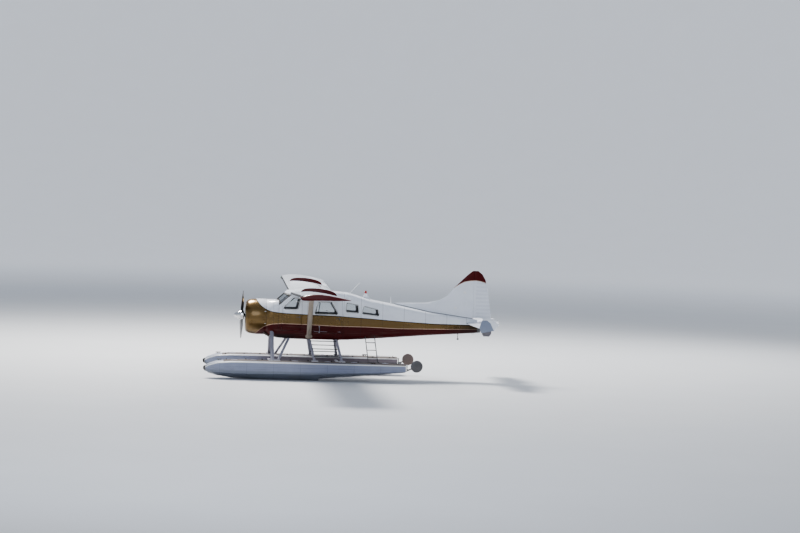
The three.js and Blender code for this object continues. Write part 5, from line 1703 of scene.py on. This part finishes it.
CHINE = [(-1.25, 0.084, -1.752), (-1.16, 0.165, -1.780), (-0.87, 0.285, -1.822), (-0.40, 0.360, -1.838),
         (0.4, 0.400, -1.840), (2.55, 0.405, -1.812)]
AFT_CHINE = [(2.562, 0.404, -1.805), (4.3, 0.365, -1.722), (5.48, 0.290, -1.652)]
HATCH_S = [-0.30, 0.35, 1.75, 2.85, 3.75, 4.80]
CUP_S = [-0.55, 0.1, 0.65, 1.6, 2.2, 3.0, 3.9, 4.6, 5.2]

# The ladder struts' legs, the front one first, as (lateral distance, s, w).
LEG_TOPS = [(0.470, 2.230, -0.640), (0.470, 3.156, -0.640)]
LEG_FEET = [(1.390, 2.432, -1.480), (1.390, 3.350, -1.480)]

# The rudder posts' station, and the pivot and rest angle of the blades.
POST_S = 5.545
BLADE_PIVOT = (5.597, -1.624)
BLADE_TURN = math.radians(24)


def step_place(row, share):
    """A place along a ladder leg, from its top to its foot."""
    return at(*LEG_TOPS[row]).lerp(at(*LEG_FEET[row]), share)


def add_float_edges():
    """White rails along the gunwales and round the bow, and strips along the chines."""
    rails = []
    for side in (-1, 1):
        edge = [at(FLOAT_X + side * (half + 0.002), s, w - 0.016) for (s, w), (_, half) in zip(GUNWALE, BEAM)]
        rails.append(wire("rail", edge, 0.015, sides=10))
    front = [at(FLOAT_X + across, -1.245, -1.684) for across in (-0.10, 0.10)]
    rails.append(wire("bow_rail", front, 0.015, sides=10))
    both_sides(joined("gunwale_rails", rails), WHITE_TRIM)
    strips = [wire("chine_strip", [at(FLOAT_X + side * half, s, w) for s, half, w in run], 0.009)
              for side in (-1, 1) for run in (CHINE, AFT_CHINE)]
    both_sides(joined("chine_strips", strips), FLOAT_PAINT)


def add_float_trim():
    """Hatches, pump cups and the strap that holds each bow bumper."""
    add_float_edges()
    handle = bent([(-0.04, 0, 0.002), (-0.04, 0, 0.020), (0.04, 0, 0.020), (0.04, 0, 0.002)], 0.010)
    lid = joined("lid", [cover_plate(0.115), wire("lid_grip", handle, 0.004)])
    lids = repeated("float_hatches", lid, stood([FLOAT_SKIN.top(FLOAT_X, s) for s in HATCH_S]))
    both_sides(lids, STRUT_PAINT)
    cup = turned("cup", [(0.026, -0.004), (0.026, 0.006), (0.020, 0.010), (0.020, 0.024), (0.012, 0.032),
                         (0.002, 0.034)], sides=16)
    cups = repeated("pump_cups", cup, stood([FLOAT_SKIN.top(FLOAT_X - 0.27, s) for s in CUP_S]))
    both_sides(cups, RUBBER)
    strap = arc(at(FLOAT_X, -1.262, -1.716), (0.108, 0, 0), (0, 0, 0.096), -200, 20, 16)
    both_sides(wire("bumper_strap", strap, 0.006), BARE_METAL)


def add_strut_feet():
    """Feet under the float struts, with their bolts."""
    low = FLOAT_SKIN.top(FLOAT_X, 1.05)[0].z - SHAFT_Z
    feet = [box("front_foot", at(FLOAT_X - 0.145, 0.855, low - 0.02),
                at(FLOAT_X + 0.075, 1.245, low + 0.014), 0.006)]
    places = [at(FLOAT_X + x, s, low + 0.015) for x in (-0.128, 0.060) for s in (0.875, 1.05, 1.225)]
    for row in (0, 1):
        place = step_place(row, 0.95)
        feet.append(block("ladder_foot", place, (-0.095, -0.110, -0.02), (0.095, 0.110, 0.034), 0.006))
        places += [place + Vector((x, s, 0.035)) for x in (-0.080, 0.080) for s in (-0.095, 0.095)]
    both_sides(joined("strut_feet", feet), WHITE_TRIM)
    bolt = joined("foot_bolt", [rod("washer", (0, 0, -0.004), (0, 0, 0.002), 0.013, sides=14),
                                rod("head", (0, 0, 0.002), (0, 0, 0.011), 0.008, sides=6)])
    both_sides(repeated("foot_bolts", bolt, shifts(places)), BARE_METAL)


def add_treads():
    """Dark treads on the ladder struts."""
    treads = []
    for share in (0.17, 0.465, 0.755):
        fore, aft = step_place(0, share), step_place(1, share)
        treads.append(box("tread", (fore.x - 0.033, fore.y + 0.012, fore.z - 0.011),
                          (fore.x + 0.033, aft.y - 0.012, fore.z + 0.0125), 0.003))
    both_sides(joined("ladder_treads", treads), PANEL_BLACK)


def add_brace_wires():
    """Crossed wires between the float struts, with a turnbuckle at each end."""
    wires, ends = [], []
    buckle = [(0.006, 0), (0.011, 0.02), (0.011, 0.10), (0.006, 0.12)]
    for s in (0.985, 3.250):
        for side in (-1, 1):
            begin, end = at(0.46 * side, s, -0.715), at(-1.325 * side, s, -1.400)
            reach = (end - begin).normalized()
            wires.append(rod("brace_wire", begin, end, 0.0055, sides=8))
            for place, way in ((begin, reach), (end, -reach)):
                ends.append(turned("wire_end", buckle, place + way * 0.03, way, 10))
    finish(joined("brace_wires", wires), BARE_METAL)
    finish(joined("brace_wire_ends", ends), DARK_METAL)


def add_steering_cables():
    """Two cables along each deck, held by guides."""
    cables = []
    for side in (-0.23, 0.23):
        route = [FLOAT_SKIN.top(FLOAT_X + side, s)[0] + Vector((0, 0, 0.020)) for s in (3.30, 4.30, 5.36)]
        cables.append(wire("steering_cable", route, 0.003, sides=6))
        cables += [block("cable_guide", place, (-0.010, -0.014, -0.024), (0.010, 0.014, 0.008), 0.003)
                   for place in route]
    both_sides(joined("steering_cables", cables), DARK_METAL)


def add_tillers():
    """The bar on each rudder post, with its nut and pins, and the blade's pivot bolt."""
    bar = strip("tiller", at(FLOAT_X - 0.115, POST_S, -1.459), at(FLOAT_X + 0.115, POST_S, -1.459),
                0.036, 0.008, (0, 0, 1))
    nut = rod("tiller_nut", at(FLOAT_X, POST_S, -1.470), at(FLOAT_X, POST_S, -1.442), 0.013, sides=6)
    pins = [rod("tiller_pin", at(FLOAT_X + x, POST_S, -1.464), at(FLOAT_X + x, POST_S, -1.448), 0.006)
            for x in (-0.10, 0.10)]
    both_sides(joined("tiller", [bar, nut, *pins]), BARE_METAL, "rudder_post_left_body")
    s, w = BLADE_PIVOT
    bolt = rod("blade_bolt", at(FLOAT_X - 0.022, s, w), at(FLOAT_X + 0.024, s, w), 0.011, sides=6)
    both_sides(bolt, BARE_METAL, "water_rudder_left_body")


def add_blade_trim():
    """The rim and the pressed ribs of each water rudder, on both of its faces."""
    s, w = BLADE_PIVOT
    along = Vector((0, math.cos(BLADE_TURN), math.sin(BLADE_TURN)))
    across = Vector((0, -along.z, along.y))
    centre = at(FLOAT_X, s, w) + along * 0.304
    hoop = circle(centre + Vector((0.005, 0, 0)), along * 0.196, across * 0.196, 48)
    pieces = [wire("blade_rim", hoop, 0.0085, closed=True)]
    for x in (-0.003, 0.0135):
        for offset in (-0.07, 0.0, 0.07):
            reach = along * math.sqrt(0.185**2 - offset**2)
            middle = centre + across * offset + Vector((x, 0, 0))
            pieces.append(strip("blade_rib", middle - reach, middle + reach, 0.014, 0.004, (1, 0, 0)))
    trim = joined("blade_trim_left", pieces)
    right = other_side(trim, "blade_trim_right")
    finish(trim, WATER_BLADE, "water_rudder_left_body")
    finish(right, TAN_METAL, "water_rudder_right_body")


add_panel()
add_controls()
add_seats()
add_wing_trim()
add_tip_lights()
add_air_tube()
add_strut_fittings()
add_tail_end()
add_tail_covers()
add_float_trim()
add_strut_feet()
add_treads()
add_brace_wires()
add_steering_cables()
add_tillers()
add_blade_trim()


# Stage: floor, lights and the camera at the photograph's viewing angle.

LENS_PIXELS = 2040.0
FRAME_PIXELS = 800.0
SENSOR = 36.0
CAMERA_HUB = Vector((69.98, -1.708, 4.38))
LOOK_RIGHT = 0.101
NOSE_UP = math.radians(2.0)
LOOK_DOWN = math.atan(79.5 / LENS_PIXELS)


def levelled(vector):
    """From axes level with the horizon to the aircraft's own, which stood nose up."""
    return Matrix.Rotation(NOSE_UP, 3, "X") @ vector


def add_camera():
    data = bpy.data.cameras.new("camera")
    data.sensor_width = SENSOR
    data.lens = LENS_PIXELS / FRAME_PIXELS * SENSOR
    data.clip_start, data.clip_end = 1.0, 400.0
    camera = linked("camera", data)
    ahead = Vector((-math.sqrt(1 - LOOK_RIGHT**2), LOOK_RIGHT, 0)).normalized()
    ahead = ahead * math.cos(LOOK_DOWN) - Z_WAY * math.sin(LOOK_DOWN)
    right = ahead.cross(Z_WAY).normalized()
    up = right.cross(ahead)
    turn = Matrix((levelled(right), levelled(up), levelled(-ahead))).transposed()
    place = levelled(CAMERA_HUB) + at(0, 0, 0)
    camera.matrix_world = Matrix.Translation(place) @ turn.to_4x4()
    bpy.context.scene.camera = camera


def add_lamp(name, place, size, power, colour=(1, 1, 1)):
    data = bpy.data.lights.new(name, "AREA")
    data.shape = "DISK"
    data.size = size
    data.energy = power
    data.color = colour
    lamp = linked(name, data)
    lamp.location = place
    lamp.rotation_mode = "QUATERNION"
    lamp.rotation_quaternion = (Vector((0, 0, 1.5)) - lamp.location).to_track_quat("-Z", "Y")


def floor_paint():
    """A pale floor that glows faintly far out, where it stands as the backdrop."""
    paint = Paint("floor_paint", Roughness=0.85, Emission_Strength=1.0)
    x, y = paint.axes()[:2]
    cloud = paint.noise(0.4, 3, 0.5)
    glow = distance(x, y).edge(22.0, 100.0)
    paint.feed(Base_Color=paint.mix(cloud, rgb(0.60, 0.61, 0.62), rgb(0.64, 0.65, 0.66)),
               Emission_Color=paint.mix(glow, rgb(0, 0, 0), rgb(0.30, 0.31, 0.33)))
    return paint.material


def add_floor():
    """A floor that rises at its rim, all round, into a plain backdrop."""
    reach, rise, steps = 105.0, 55.0, 12
    turns = [math.pi / 2 * (1 - i / steps) for i in range(steps + 1)]
    profile = [(reach + rise * math.sin(turn), rise * (1 - math.cos(turn))) for turn in turns] + [(1.0, 0.0)]
    floor = ring_by_ring("floor", profile, 96)
    bpy.ops.mesh.merge(type="CENTER")
    leave()
    floor.data.transform(Matrix.Translation((0, 0, -0.002)))
    outward(floor).data.flip_normals()
    smooth(floor, 60)
    floor.data.materials.append(floor_paint())


def add_stage():
    add_floor()
    world = bpy.data.worlds.new("studio")
    world.use_nodes = True
    sky = world.node_tree.nodes["Background"].inputs
    sky["Color"].default_value = (0.74, 0.82, 0.96, 1)
    sky["Strength"].default_value = 0.5
    bpy.context.scene.world = world
    add_lamp("key", (-13, -9, 25), 9, 13000, (1, 0.97, 0.93))
    add_lamp("fill", (30, -6, 14), 16, 1500, (0.80, 0.87, 1))
    add_lamp("back", (-16, 18, 18), 12, 3000)


add_stage()
add_camera()
bpy.context.scene.view_settings.view_transform = "AgX"
bpy.context.scene.view_settings.look = "AgX - Medium High Contrast"
